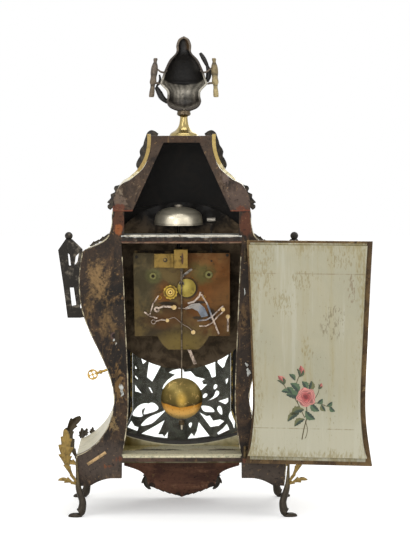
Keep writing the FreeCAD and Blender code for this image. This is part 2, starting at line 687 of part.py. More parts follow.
def finial_urn():
    """Cast urn with handles and two curling branches, hollow and open at the back."""
    top = [URN_KNOB[-1], (0, URN_BOWL[0][1])]
    foot = [(0, URN_BOWL[0][1]), URN_BOWL[0]]
    rim = [URN_BOWL[-1], URN_DOME[0]]
    half = Part.Face(Part.Wire([edge(run, 0) for run in (URN_BOWL, rim, URN_DOME, URN_KNOB, top, foot)]))
    body = half.revolve(V(0, 0, 0), UP, 360)
    cavity = turned(URN_CAVITY, 0, 0)
    pieces = tube(BRANCH_RIGHT, BRANCH_R, BRANCH_Y) + tube(BRANCH_LEFT, BRANCH_R, BRANCH_Y)
    for x in HANDLE_XS:
        side = math.copysign(1, x)
        for z0, z1, radius in HANDLE_PARTS:
            pieces.append(upright(x, 0, radius, (z0, z1)))
        for z, inner, radius in HANDLE_ARMS:
            pieces.append(Part.makeCylinder(radius, abs(x) - inner, V(side * inner, 0, z), V(side, 0, 0)))
    urn = joined(body, pieces).cut(cavity)
    back = box((-30, 30), (-60, URN_CUT_Y), (592, 710))
    urn = urn.cut(back)
    urn.translate(V(FINIAL_X, 0, 0))
    return urn


def door_edge(grow, z_low, z_high):
    """Right edge of the rear door, the doorway's curve moved out by grow."""
    middle = [(x + grow, z) for x, z in DOORWAY[1:-1]]
    return [(DOORWAY[0][0] + 1 + grow, z_low)] + middle + [(DOORWAY[-1][0] + grow, z_high)]


def door_board(grow_right, grow_left, z_low, z_high, ys):
    """Waisted board between two heights."""
    right = door_edge(grow_right, z_low, z_high)
    left = other_half(door_edge(grow_left, z_low, z_high))
    return board([right, [right[-1], left[0]], left, [left[-1], right[0]]], ys)


def opened(shape):
    """Swings a piece of the closed rear door to its open place."""
    copy = shape.copy()
    copy.rotate(V(DOOR_HINGE_X, DOOR_HINGE_Y, 0), UP, DOOR_OPEN_DEG)
    return copy


def rear_door():
    """Lip board, centre panel and clamps of the rear door, as closed solids."""
    inside = REAR_Y - DOOR_GAP
    lip_ys = (inside - DOOR_LIP_T, inside)
    lip = door_board(DOOR_LIP_HINGE_SIDE, DOOR_LIP_FREE_SIDE, DOOR_BOTTOM_Z, DOOR_TOP_Z, lip_ys)
    plug_zs = (DOORWAY_BOTTOM_Z + DOOR_PLUG_GAP, DOORWAY_TOP_Z - DOOR_PLUG_GAP)
    plug_ys = (inside, inside + DOOR_PLUG_T)
    plug = door_board(-DOOR_PLUG_SIDE_GAP, -DOOR_PLUG_SIDE_GAP, plug_zs[0], plug_zs[1], plug_ys)
    wide = (-120, 120)
    deep = (inside - 1, inside + DOOR_PLUG_T + 1)
    panel = plug.common(box(wide, deep, (DOOR_CLAMP_LOW_Z, DOOR_CLAMP_HIGH_Z)))
    low = plug.common(box(wide, deep, (plug_zs[0] - 5, DOOR_CLAMP_LOW_Z)))
    high = plug.common(box(wide, deep, (DOOR_CLAMP_HIGH_Z, plug_zs[1] + 5)))
    return lip, panel, group([low, high])


def rear_hinges():
    """Door leaves and case leaves of the two butt hinges of the rear door."""
    door_leaves = []
    case_leaves = []
    lip_back = REAR_Y - DOOR_GAP - DOOR_LIP_T
    web_xs = (DOOR_HINGE_X - HINGE_WEB_HALF, DOOR_HINGE_X + HINGE_WEB_HALF)
    for z in DOOR_HINGE_ZS:
        knuckle = (z - HINGE_KNUCKLE_HALF + HINGE_END_GAP, z + HINGE_KNUCKLE_HALF - HINGE_END_GAP)
        leaf = box((DOOR_HINGE_X - HINGE_DOOR_LEAF_W, DOOR_HINGE_X), (lip_back - HINGE_LEAF_T, lip_back), knuckle)
        barrel = upright(DOOR_HINGE_X, DOOR_HINGE_Y, HINGE_KNUCKLE_R, knuckle)
        bore = upright(DOOR_HINGE_X, DOOR_HINGE_Y, HINGE_PIN_R + HINGE_RUN, knuckle)
        door_leaves.append(joined(leaf, [barrel]).cut(bore))
        ends = [(z - HINGE_HALF, z - HINGE_KNUCKLE_HALF), (z + HINGE_KNUCKLE_HALF, z + HINGE_HALF)]
        pieces = [upright(DOOR_HINGE_X, DOOR_HINGE_Y, HINGE_PIN_R, (z - HINGE_HALF, z + HINGE_HALF))]
        for end in ends:
            pieces.append(upright(DOOR_HINGE_X, DOOR_HINGE_Y, HINGE_KNUCKLE_R, end))
            pieces.append(box(web_xs, (DOOR_HINGE_Y, REAR_Y), end))
        plate_xs = (web_xs[0], DOOR_HINGE_X + HINGE_CASE_LEAF_W)
        plate = box(plate_xs, (REAR_Y - HINGE_LEAF_T, REAR_Y), (z - HINGE_HALF, z + HINGE_HALF))
        case_leaves.append(joined(plate, pieces))
    return group(door_leaves), case_leaves


def front_hinge_ears():
    """Pairs of ears with a pin that carry the front door."""
    pairs = []
    for z in FRONT_HINGE_ZS:
        near, far = FRONT_EAR_ZS
        ear_ys = (FRONT_Y, FRONT_EAR_END_Y)
        low = box(FRONT_EAR_XS, ear_ys, (z - far, z - near))
        high = box(FRONT_EAR_XS, ear_ys, (z + near, z + far))
        strip_xs = (FRONT_EAR_XS[1] - FRONT_EAR_STRIP[0], FRONT_EAR_XS[1])
        strip = box(strip_xs, (FRONT_Y, FRONT_Y + FRONT_EAR_STRIP[1]), (z - far, z + far))
        pin = upright(FRONT_HINGE_X, FRONT_HINGE_Y, STUD_R, (z - far, z + far))
        pairs.append(joined(low, [high, strip, pin]))
    return pairs


def front_door_frame():
    """Frame of the glazed front door with its two hinge knuckles."""
    ring = opening_outline(FRONT_DOOR_BAR_W, FRONT_DOOR_Y).cut(opening_outline(0.0, FRONT_DOOR_Y))
    rebate = opening_outline(FRONT_DOOR_REBATE_W, (FRONT_DOOR_Y[0], FRONT_DOOR_REBATE_Y))
    ring = ring.cut(rebate)
    arm_ys = (FRONT_HINGE_Y - FRONT_ARM_HALF_T, FRONT_HINGE_Y + FRONT_ARM_HALF_T)
    arms = []
    bores = []
    for z in FRONT_HINGE_ZS:
        zs = (z - FRONT_KNUCKLE_HALF, z + FRONT_KNUCKLE_HALF)
        arms.append(box((FRONT_ARM_X, FRONT_HINGE_X), arm_ys, zs))
        arms.append(upright(FRONT_HINGE_X, FRONT_HINGE_Y, FRONT_KNUCKLE_R, zs))
        bores.append(upright(FRONT_HINGE_X, FRONT_HINGE_Y, STUD_R + HINGE_RUN, zs))
    frame = joined(ring, arms)
    for bore in bores:
        frame = frame.cut(bore)
    return frame


def front_door_fret():
    """Pierced foliage fret in the lower light of the front door."""
    plate = opening_outline(-0.3, FRET_Y)
    plate = plate.cut(rod(CENTRE, DIAL_OPENING_R - 1.5, FRET_Y))
    plate = plate.cut(box((-120, 120), FRET_Y, (FRET_TOP_Z, FRET_TOP_Z + 250)))
    for outline in FRET_ANGULAR:
        plate = plate.cut(board(straight_runs(outline), FRET_Y))
    for outline in FRET_CURLED:
        plate = plate.cut(smooth_board(outline, FRET_Y))
    return plate


def in_lock(shape):
    """Places a piece drawn along +X from the wall's outer face into the tilted lock."""
    copy = shape.copy()
    copy.rotate(V(0, 0, 0), BACK_TO_FRONT, -LOCK_TILT_DEG)
    copy.translate(LOCK_ORIGIN)
    return copy


def lock_bore():
    """Round passage along the key through wall and lock."""
    return in_lock(Part.makeCylinder(KEY_STEM_R + KEY_RUN, 2 * LOCK_REACH, V(-LOCK_REACH, 0, 0), ACROSS))


def lock_case():
    """Lock box behind the left wall, with a keyway and room for the key's bit to turn."""
    start = WALL_T + 0.4
    depth, width, height = LOCK_BOX
    block = box((start, start + depth), (-width / 2, width / 2), (-height / 2, height / 2))
    room = Part.makeCylinder(LOCK_ROOM_R, LOCK_ROOM_L, V(start + LOCK_PLATE_T, 0, 0), ACROSS)
    return in_lock(block.cut(room)).cut(lock_bore())


def door_key():
    """Key with a pierced bow, standing in the lock."""
    stem = Part.makeCylinder(KEY_STEM_R, KEY_OUTSIDE + KEY_INSIDE, V(-KEY_OUTSIDE, 0, 0), ACROSS)
    collar = Part.makeCylinder(KEY_COLLAR_R, 3, V(-KEY_OUTSIDE + 4, 0, 0), ACROSS)
    centre = V(-KEY_OUTSIDE - KEY_BOW_R + 1, -KEY_BOW_T / 2, 0)
    bow = Part.makeCylinder(KEY_BOW_R, KEY_BOW_T, centre, BACK_TO_FRONT)
    for k in range(4):
        angle = math.radians(90 * k + 45)
        eye = V(centre.x + KEY_EYE_RING_R * math.cos(angle), centre.y, KEY_EYE_RING_R * math.sin(angle))
        bow = bow.cut(Part.makeCylinder(KEY_EYE_R, KEY_BOW_T, eye, BACK_TO_FRONT))
    length, thick, drop = KEY_BIT
    bit_start = WALL_T + 3
    bit = box((bit_start, bit_start + length), (-thick / 2, thick / 2), (-drop, 0))
    return in_lock(joined(stem, [collar, bow, bit]))


def turn_button():
    """Turn button on its post."""
    lap = DOOR_GAP + DOOR_LIP_T + 0.8
    ys = (REAR_Y - lap - BUTTON_T, REAR_Y - lap)
    xs = (BUTTON_X - BUTTON_W / 2, BUTTON_X + BUTTON_W / 2)
    bar = box(xs, ys, (BUTTON_Z - BUTTON_HALF, BUTTON_Z + BUTTON_HALF))
    return joined(bar, [rod((BUTTON_X, BUTTON_Z), BUTTON_POST_R, (REAR_Y - lap, REAR_Y))])


def toothed(place, count, module, form, ys, phase):
    """Toothed disc with straight-sided teeth; one tooth points along the phase angle."""
    addendum, dedendum, half_tip, half_root = form
    pitch = 2 * math.pi / count
    radius = module * count / 2
    low = radius - dedendum * module
    high = radius + addendum * module
    corners = []
    for k in range(count):
        middle = phase + k * pitch
        for r, share in ((low, -half_root), (high, -half_tip), (high, half_tip), (low, half_root)):
            corners.append(around(place, r, middle + share * pitch))
    return board(straight_runs(corners), ys)


def around(place, radius, angle):
    """Place at a radius and angle round another place."""
    return (place[0] + radius * math.cos(angle), place[1] + radius * math.sin(angle))


def direction(start, end):
    """Angle in the plate's plane from one place to another."""
    return math.atan2(end[1] - start[1], end[0] - start[0])


def pinion_phase(wheel, pinion, leaves):
    """Phase that puts a gap of the pinion where the wheel's tooth points at it."""
    return direction(pinion, wheel) + math.pi / leaves


def crossed_out(wheel, place, hub, rim, ys):
    """Cuts four sector windows between hub and rim of a wheel."""
    for k in range(4):
        angles = [math.radians(90 * k + a) for a in (14, 45, 76)]
        outer = [around(place, rim, a) for a in angles]
        inner = [around(place, hub, a) for a in angles]
        wire = Part.Wire([
            Part.Arc(point(outer[0], ys[0]), point(outer[1], ys[0]), point(outer[2], ys[0])).toShape(),
            edge([outer[2], inner[2]], ys[0]),
            Part.Arc(point(inner[2], ys[0]), point(inner[1], ys[0]), point(inner[0], ys[0])).toShape(),
            edge([inner[0], outer[0]], ys[0]),
        ])
        wheel = wheel.cut(Part.Face(wire).extrude(V(0, ys[1] - ys[0], 0)))
    return wheel


def spring_barrel(place, driven, wheel_ys, drum_ys):
    """Spring barrel with its great wheel, arbor and winding square."""
    wheel = toothed(place, GREAT_TEETH, GREAT_MODULE, WHEEL_TOOTH, wheel_ys, direction(place, driven))
    drum = rod(place, BARREL_R, drum_ys)
    arbor = rod(place, BARREL_ARBOR_R, (BACK_PLATE_Y, 20))
    half = WINDING_SQUARE / 2
    square = box((place[0] - half, place[0] + half), (20, 47), (place[1] - half, place[1] + half))
    return joined(drum, [wheel, arbor, square])


def centre_wheel():
    """Centre arbor with pinion, wheel and the cannon pinion with its pipe."""
    pinion = toothed(CENTRE, GREAT_PINION, GREAT_MODULE, PINION_LEAF, (-9.5, -3.5),
                     pinion_phase(GOING_BARREL, CENTRE, GREAT_PINION))
    ys = (-3, -1)
    wheel = toothed(CENTRE, CENTRE_TEETH, CENTRE_MODULE, WHEEL_TOOTH, ys, direction(CENTRE, THIRD))
    wheel = crossed_out(wheel, CENTRE, 6, 19, ys)
    cannon = toothed(CENTRE, CANNON_TEETH, CANNON_MODULE, PINION_LEAF, (20.5, 23.5),
                     pinion_phase(MINUTE_STUD, CENTRE, CANNON_TEETH))
    pipe = rod(CENTRE, CANNON_PIPE_R, (20, MINUTE_HAND_Y[1]))
    return joined(rod(CENTRE, CENTRE_ARBOR_R, (BACK_PLATE_Y, 60)), [pinion, wheel, cannon, pipe])


def third_wheel():
    """Third arbor with pinion and wheel."""
    pinion = toothed(THIRD, THIRD_PINION, CENTRE_MODULE, PINION_LEAF, (-4, 0),
                     pinion_phase(CENTRE, THIRD, THIRD_PINION))
    ys = (4, 6)
    wheel = toothed(THIRD, THIRD_TEETH, THIRD_MODULE, WHEEL_TOOTH, ys, direction(THIRD, ESCAPE))
    wheel = crossed_out(wheel, THIRD, 5, 16, ys)
    return joined(rod(THIRD, FINE_ARBOR_R, (BACK_PLATE_Y, PLATE_FRONT_FACE)), [pinion, wheel])


def escape_wheel():
    """Escape arbor with pinion and a wheel of raked points."""
    pinion = toothed(ESCAPE, ESCAPE_PINION, THIRD_MODULE, PINION_LEAF, (3, 7),
                     pinion_phase(THIRD, ESCAPE, ESCAPE_PINION))
    ys = (9, 11)
    pitch = 2 * math.pi / ESCAPE_TEETH
    corners = []
    for k in range(ESCAPE_TEETH):
        for radius, share in ((ESCAPE_R - 3, 0.0), (ESCAPE_R, 0.55), (ESCAPE_R, 0.65), (ESCAPE_R - 3, 0.62)):
            angle = (k + share) * pitch
            corners.append(around(ESCAPE, radius, angle))
    wheel = board(straight_runs(corners), ys)
    wheel = crossed_out(wheel, ESCAPE, 4, 9, ys)
    return joined(rod(ESCAPE, FINE_ARBOR_R, (BACK_PLATE_Y, PLATE_FRONT_FACE)), [pinion, wheel])


def pin_wheel():
    """Strike pin wheel with its pinion and lifting pins."""
    pinion_ys = (STRIKE_GREAT_YS[0] - 1, STRIKE_GREAT_YS[1] + 1)
    pinion = toothed(PIN_WHEEL, GREAT_PINION, GREAT_MODULE, PINION_LEAF, pinion_ys,
                     pinion_phase(STRIKE_BARREL, PIN_WHEEL, GREAT_PINION))
    ys = (-3, -1)
    wheel = toothed(PIN_WHEEL, PIN_TEETH, CENTRE_MODULE, WHEEL_TOOTH, ys, 0.0)
    pieces = [pinion, wheel]
    for k in range(8):
        pieces.append(rod(around(PIN_WHEEL, LIFT_PIN_RING_R, math.radians(45 * k)), LIFT_PIN_R, (-1, 3)))
    return joined(rod(PIN_WHEEL, ARBOR_R, (BACK_PLATE_Y, PLATE_FRONT_FACE)), pieces)


def minute_wheel():
    """Minute wheel and pinion on the front plate's stud."""
    towards = direction(MINUTE_STUD, CENTRE)
    wheel = toothed(MINUTE_STUD, MINUTE_TEETH, CANNON_MODULE, WHEEL_TOOTH, (20.5, 23), towards)
    pinion = toothed(MINUTE_STUD, MINUTE_PINION, HOUR_MODULE, PINION_LEAF, (23, 27.5),
                     pinion_phase(CENTRE, MINUTE_STUD, MINUTE_PINION))
    return joined(wheel, [pinion]).cut(rod(MINUTE_STUD, STUD_R + PIVOT_RUN, (20, 28)))


def hour_wheel():
    """Hour wheel on its pipe, which turns round the cannon pipe."""
    wheel = toothed(CENTRE, HOUR_TEETH, HOUR_MODULE, WHEEL_TOOTH, (24.5, 27), direction(CENTRE, MINUTE_STUD))
    pipe = rod(CENTRE, HOUR_PIPE_R, (24.5, HOUR_HAND_Y[1]))
    return joined(wheel, [pipe]).cut(rod(CENTRE, HOUR_PIPE_BORE_R, (24, 57)))


def hand(length, collet_r, bore_r, ys, clock_deg):
    """Pierced hand that points along a clock angle seen from the front."""
    collet = rod(CENTRE, collet_r, ys)
    tip = CENTRE[1] + length
    blade = board(straight_runs([
        (-1.4, CENTRE[1]), (-1.2, tip - 20), (-3.6, tip - 15), (0, tip), (3.6, tip - 15), (1.2, tip - 20),
        (1.4, CENTRE[1]),
    ]), ys)
    heart = rod((0, CENTRE[1] + length * 0.5), 6.0, ys)
    eyes = [rod((side * 2.9, CENTRE[1] + length * 0.5), 1.9, ys) for side in (-1, 1)]
    shape = joined(collet, [blade, heart])
    for eye in eyes:
        shape = shape.cut(eye)
    shape = shape.cut(rod(CENTRE, bore_r, ys))
    shape.rotate(point(CENTRE, 0), BACK_TO_FRONT, -clock_deg)
    return shape


def back_plate():
    """Back plate with its lower lobe, pivot holes, cover disc and the studs of the strike work."""
    lobe_right = [(40, PLATE_BOTTOM_Z), (32, 248), (24, 241)]
    lobe_left = [(-20, 241), (-28, 249), (-36, PLATE_BOTTOM_Z)]
    runs = [
        [(-PLATE_HALF, PLATE_TOP_Z), (PLATE_HALF, PLATE_TOP_Z)],
        [(PLATE_HALF, PLATE_TOP_Z), (PLATE_HALF, PLATE_BOTTOM_Z)],
        [(PLATE_HALF, PLATE_BOTTOM_Z), lobe_right[0]], lobe_right, [lobe_right[-1], lobe_left[0]], lobe_left,
        [lobe_left[-1], (-PLATE_HALF + 2, PLATE_BOTTOM_Z)],
        [(-PLATE_HALF + 2, PLATE_BOTTOM_Z), (-PLATE_HALF, PLATE_TOP_Z)],
    ]
    ys = (BACK_PLATE_Y, BACK_PLATE_Y + PLATE_T)
    plate = pivoted(board(runs, ys), ys)
    plate = plate.cut(rod(ANCHOR, 3.0, ys))
    studs = [rod(LEVER_STUD, STUD_R, (-43, BACK_PLATE_Y)), rod(STAR_STUD, STUD_R, (-47.5, BACK_PLATE_Y))]
    disc = rod(COVER_DISC, COVER_DISC_R, (-41, BACK_PLATE_Y))
    return joined(plate, studs + [disc])


def pivoted(plate, ys):
    """Drills the pivot holes that both plates share."""
    holes = [(CENTRE, CENTRE_ARBOR_R), (THIRD, FINE_ARBOR_R), (ESCAPE, FINE_ARBOR_R), (PIN_WHEEL, ARBOR_R),
             (GOING_BARREL, BARREL_ARBOR_R), (STRIKE_BARREL, BARREL_ARBOR_R), (HAMMER, ARBOR_R)]
    for place, radius in holes:
        plate = plate.cut(rod(place, radius + PIVOT_RUN, ys))
    return plate


def front_plate():
    """Front plate with its pivot holes and the minute wheel's stud."""
    ys = (FRONT_PLATE_Y, PLATE_FRONT_FACE)
    plate = box((-PLATE_HALF, PLATE_HALF), ys, (PLATE_BOTTOM_Z, PLATE_TOP_Z))
    plate = pivoted(plate, ys).cut(rod(ANCHOR, ARBOR_R + PIVOT_RUN, ys))
    return joined(plate, [rod(MINUTE_STUD, STUD_R, (PLATE_FRONT_FACE, 28.5))])


def plate_pillars():
    """Pillars between the plates, and the longer ones that carry the movement on the dial plate."""
    between = [rod(place, PILLAR_R, (PLATE_INNER_REAR, FRONT_PLATE_Y)) for place in PILLARS]
    ahead = [rod(place, PILLAR_R, (PLATE_FRONT_FACE, DIAL_PLATE_Y[0])) for place in PILLARS]
    return group(between + ahead)


def suspension_cock():
    """Hollow cock that holds the pendulum's suspension, and the bridge beside it with its screw."""
    cock = box((-11, 8.8), (-58, BACK_PLATE_Y), (363, 390))
    cock = cock.cut(box((-5, 5), (-53, BACK_PLATE_Y), (360, 386)))
    cock = cock.cut(rod((-1, 380), 1.3, (-58, -52)))
    cock = cock.cut(box((-1.5, -0.5), (-58, -57), (365, 380)))
    bridge = box((-40, -11.7), (-46, BACK_PLATE_Y), (363, 383))
    screw = rod((-24.5, 373), 3.4, (-47.5, -46)).cut(box((-29, -20), (-48, -47), (372.5, 373.5)))
    return group([cock, joined(bridge, [screw])])


def bell():
    """Turned bell with a thin wall."""
    wire = Part.Wire([
        edge(BELL_OUTER, 0), edge([BELL_OUTER[-1], BELL_INNER[0]], 0),
        edge(BELL_INNER, 0), edge([BELL_INNER[-1], BELL_OUTER[0]], 0),
    ])
    shape = Part.Face(wire).revolve(V(0, 0, 0), UP, 360)
    shape.translate(V(BELL_X, BELL_Y, 0))
    return shape


def bell_stand():
    """Bar across the plates with the bell's post and nut."""
    bar_top = PLATE_TOP_Z + 5
    bar = box((BELL_X - 5, BELL_X + 5), (BACK_PLATE_Y, PLATE_FRONT_FACE), (PLATE_TOP_Z, bar_top))
    post = upright(BELL_X, BELL_Y, BELL_POST_R, (bar_top, BELL_NUT_Z + 3))
    nut = upright(BELL_X, BELL_Y, BELL_NUT_R, (BELL_NUT_Z, BELL_NUT_Z + 2.6))
    collar = upright(BELL_X, BELL_Y, 5.0, (440, 446))
    return joined(bar, [post, nut, collar])


def hammer():
    """Bell hammer on its arbor."""
    arbor = rod(HAMMER, ARBOR_R, (BACK_PLATE_Y, PLATE_FRONT_FACE))
    arm = box((HAMMER[0] - 1.5, HAMMER[0] + 1.5), (BELL_Y - 1.5, BELL_Y + 1.5), (HAMMER[1], HAMMER_HEAD_Z))
    head = Part.makeCylinder(HAMMER_HEAD_R, HAMMER_HEAD_X[1] - HAMMER_HEAD_X[0],
                             V(HAMMER_HEAD_X[0], BELL_Y, HAMMER_HEAD_Z), ACROSS)
    boss = rod(HAMMER, 3.5, (BELL_Y - 4, BELL_Y + 4))
    return joined(arbor, [arm, head, boss])


def strike_springs():
    """Fixed springs, blued lever, nuts and strip of the strike work."""
    pieces = [board(straight_runs(BLUED_LEVER), STRIKE_WORK_Y)]
    for points, width in STRIKE_STRAPS:
        pieces.append(strap(points, width, (STRIKE_WORK_Y[0] + 0.8, STRIKE_WORK_Y[1])))
    for x, z, radius in STRIKE_NUTS:
        pieces.append(rod((x, z), radius, (STRIKE_WORK_Y[0] - 0.6, STRIKE_WORK_Y[1])))
    strip = strap(STRIP_LEVER, STRIP_LEVER_W, STRIP_LEVER_Y)
    foot = rod(STRIP_LEVER[0], STRIP_LEVER_W / 2, (PLATE_INNER_REAR, STRIP_LEVER_Y[0] + 0.5))
    first = pieces[0].fuse(pieces[1:]).removeSplitter()
    return group(list(first.Solids) + [joined(strip, [foot])])


def strike_lever():
    """Steel lever with a brass knob that turns on its stud."""
    ys = (-41, -39)
    arm = strap(LEVER_ARM, 3.0, ys)
    eye = rod(LEVER_STUD, 4.2, ys)
    knob = rod(LEVER_KNOB[:2], LEVER_KNOB[2], (-44.5, -39))
    return joined(arm, [eye, knob]).cut(rod(LEVER_STUD, STUD_R + PIVOT_RUN, ys))


def star_wheel():
    """Twelve-pointed hour star on its stud."""
    ys = (-45.6, -44)
    corners = []
    for k in range(24):
        radius = STAR_R if k % 2 == 0 else STAR_R - 1.4
        corners.append(around(STAR_STUD, radius, math.radians(15 * k)))
    star = board(straight_runs(corners), ys)
    hub = rod(STAR_STUD, 3.4, (-47, ys[0]))
    ring = rod(STAR_STUD, 7.6, (-46.2, ys[0]))
    return joined(star, [hub, ring]).cut(rod(STAR_STUD, STUD_R + PIVOT_RUN, (-48, -43)))


def anchor_crutch():
    """Anchor on its arbor, with the crutch and fork that embrace the pendulum rod."""
    arbor = rod(ANCHOR, 1.5, (-46, PLATE_FRONT_FACE))
    ys = (9, 11)
    arms = [(-2, 382.5), (-13.5, 375.5), (-10.6, 371.7), (-1, 377.5)]
    left = board(straight_runs(arms), ys)
    hub = rod(ANCHOR, 3.2, ys)
    crutch = box((-1.6, 1.6), (-46, -44), (338, ANCHOR[1] + 2))
    bridge = box((-3.4, 3.4), (-46, -44), (338, 342))
    prongs = [box((1.8, 3.4), (-53, -44), (338, 342)), box((-3.4, -1.8), (-53, -44), (338, 342))]
    beat_arm = strap([(0, 349), (15, 361)], 3.4, (-46, -44))
    return joined(arbor, [left, mirrored(left), hub, crutch, bridge, beat_arm] + prongs)


def pendulum_rod():
    """Suspension spring, hook block and round rod."""
    spring = box((-0.25, 0.25), (PENDULUM_Y - 1.6, PENDULUM_Y + 1.6), (ROD_TOP_Z - 2, 385))
    block = box((-2.2, 2.2), (PENDULUM_Y - 2, PENDULUM_Y + 2), (ROD_TOP_Z - 8, ROD_TOP_Z))
    return joined(upright(0, PENDULUM_Y, ROD_R, (ROD_BOTTOM_Z, ROD_TOP_Z - 2)), [block, spring])


def pendulum_bob():
    """Lens-shaped bob with a bore for the rod."""
    rear = V(0, PENDULUM_Y - BOB_HALF_T, BOB_Z)
    front = V(0, PENDULUM_Y + BOB_HALF_T, BOB_Z)
    rim_rear = V(BOB_R, PENDULUM_Y - BOB_RIM_HALF, BOB_Z)
    rim_front = V(BOB_R, PENDULUM_Y + BOB_RIM_HALF, BOB_Z)
    swell = 0.74
    half_way = BOB_R * 0.62
    rear_mid = V(half_way, PENDULUM_Y - BOB_HALF_T * swell, BOB_Z)
    front_mid = V(half_way, PENDULUM_Y + BOB_HALF_T * swell, BOB_Z)
    wire = Part.Wire([
        Part.Arc(rear, rear_mid, rim_rear).toShape(), Part.makeLine(rim_rear, rim_front),
        Part.Arc(rim_front, front_mid, front).toShape(), Part.makeLine(front, rear),
    ])
    lens = Part.Face(wire).revolve(V(0, 0, BOB_Z), BACK_TO_FRONT, 360)
    return lens.cut(upright(0, PENDULUM_Y, BOB_BORE_R, (BOB_Z - BOB_R - 2, BOB_Z + BOB_R + 2)))


def rating_nut():
    """Milled rating nut below the bob."""
    corners = [around((0, PENDULUM_Y), NUT_R, math.radians(20 * k)) for k in range(18)]
    ring = [V(x, y, NUT_Z) for x, y in corners]
    nut = Part.Face(Part.makePolygon(ring + [ring[0]])).extrude(V(0, 0, NUT_H))
    return nut.cut(upright(0, PENDULUM_Y, BOB_BORE_R, (NUT_Z, NUT_Z + NUT_H)))


def dial_plate():
    """Dark backing disc with flat sides, on posts from the front board."""
    disc = rod(CENTRE, DIAL_PLATE_R, DIAL_PLATE_Y)
    zs = (CENTRE[1] - DIAL_PLATE_R, CENTRE[1] + DIAL_PLATE_R)
    plate = disc.common(box((-DIAL_PLATE_HALF_W, DIAL_PLATE_HALF_W), DIAL_PLATE_Y, zs))
    for place in (GOING_BARREL, STRIKE_BARREL):
        plate = plate.cut(rod(place, WINDING_HOLE_R + 1.5, DIAL_PLATE_Y))
    plate = plate.cut(rod(CENTRE, 6.0, DIAL_PLATE_Y))
    posts = []
    for degrees in DIAL_POST_DEGS:
        place = around(CENTRE, DIAL_POST_RING_R, math.radians(degrees))
        posts.append(rod(place, DIAL_POST_R, (DIAL_PLATE_Y[1], WALL_FRONT_Y)))
    return joined(plate, posts)


def dial():
    """Enamel dial with its centre and winding holes."""
    disc = rod(CENTRE, DIAL_R, DIAL_Y).cut(rod(CENTRE, 5.0, DIAL_Y))
    for place in (GOING_BARREL, STRIKE_BARREL):
        disc = disc.cut(rod(place, WINDING_HOLE_R, DIAL_Y))
    return disc


def nodes():
    """Builds every piece and names it."""
    stile = rear_stile()
    wall = side_wall()
    mount = corner_mount()
    foot = rear_right_foot()
    lip, panel, clamps = rear_door()
    door_leaves, case_leaves = rear_hinges()
    rail_half = DOORWAY[-1][0]
    shelf_zs = (DOORWAY_TOP_Z, BELL_SHELF_TOP_Z)
    base_zs = (BASE_BOARD_Z, BASE_BOARD_Z + BASE_BOARD_T)
    base_ys = (REAR_Y + BOTTOM_RAIL_DEPTH, WALL_FRONT_Y)
    return {
        "rear_stile_right": stile,
        "rear_stile_left": mirrored(stile),
        "rear_shelf_rail": box((-rail_half, rail_half), (REAR_Y, REAR_Y + BELL_SHELF_DEPTH), shelf_zs),
        "rear_bottom_rail": box((-rail_half, rail_half), (REAR_Y, REAR_Y + BOTTOM_RAIL_DEPTH),
                                (BOTTOM_RAIL_Z, DOORWAY_BOTTOM_Z)),
        "base_board": box((-BASE_BOARD_HALF, BASE_BOARD_HALF), base_ys, base_zs),
        "side_wall_right": wall,
        "side_wall_left": mirrored(wall).cut(lock_bore()),
        "front_board": front_board(),
        "front_apron": front_apron(),
        "hood_rear_frame": hood_rear_frame(),
        "hood_sides": hood_sides(),
        "hood_front_panel": below_top(board(hood_outline(), (WALL_FRONT_Y, FRONT_Y))),
        "hood_top_board": hood_top_board(),
        "hood_beads": hood_beads(),
        "hood_mounts": hood_mounts(),
        "corner_mount_right": mount,
        "corner_mount_left": mirrored(mount),
        "foot_rear_right": foot.translated(V(RIGHT_FOOT_SHIFT, 0, 0)),
        "foot_rear_left": mirrored(foot),
        "foot_front_right": front_foot(foot),
        "foot_front_left": mirrored(front_foot(foot)),
        "finial_base": finial_base(),
        "finial_urn": finial_urn(),
        "rear_door_lip": opened(lip),
        "rear_door_panel": opened(panel),
        "rear_door_clamps": opened(clamps),
        "rear_door_hinges": opened(door_leaves),
        "case_hinges": group(case_leaves + front_hinge_ears()),
        "turn_button": turn_button(),
        "front_door_frame": front_door_frame(),
        "front_door_glass": opening_outline(FRONT_DOOR_REBATE_W - 0.4, GLASS_Y),
        "front_door_fret": front_door_fret(),
        "lock_case": lock_case(),
        "door_key": door_key(),
        "dial": dial(),
        "dial_plate": dial_plate(),
        "back_plate": back_plate(),
        "front_plate": front_plate(),
        "plate_pillars": plate_pillars(),
        "suspension_cock": suspension_cock(),
        "bell": bell(),
        "bell_stand": bell_stand(),
        "hammer": hammer(),
        "strike_springs": strike_springs(),
        "strike_lever": strike_lever(),
        "star_wheel": star_wheel(),
        "anchor_crutch": anchor_crutch(),
        "pendulum_rod": pendulum_rod(),
        "pendulum_bob": pendulum_bob(),
        "rating_nut": rating_nut(),
        "going_barrel": spring_barrel(GOING_BARREL, CENTRE, (-8, -5), (-31, -8)),
        "strike_barrel": spring_barrel(STRIKE_BARREL, PIN_WHEEL, STRIKE_GREAT_YS, (STRIKE_GREAT_YS[1], -8)),
        "centre_wheel": centre_wheel(),
        "third_wheel": third_wheel(),
        "escape_wheel": escape_wheel(),
        "pin_wheel": pin_wheel(),
        "minute_wheel": minute_wheel(),
        "hour_wheel": hour_wheel(),
        "hour_hand": hand(HOUR_HAND_LENGTH, 7.0, HOUR_PIPE_R, HOUR_HAND_Y, HOUR_DEG),
        "minute_hand": hand(MINUTE_HAND_LENGTH, 5.5, CANNON_PIPE_R, MINUTE_HAND_Y, MINUTE_DEG),
    }


os.makedirs("parts", exist_ok=True)
for name, shape in nodes().items():
    shape.exportStep("parts/" + name + ".step")
    print(name, len(shape.Solids), round(shape.Volume, 1), shape.isValid())
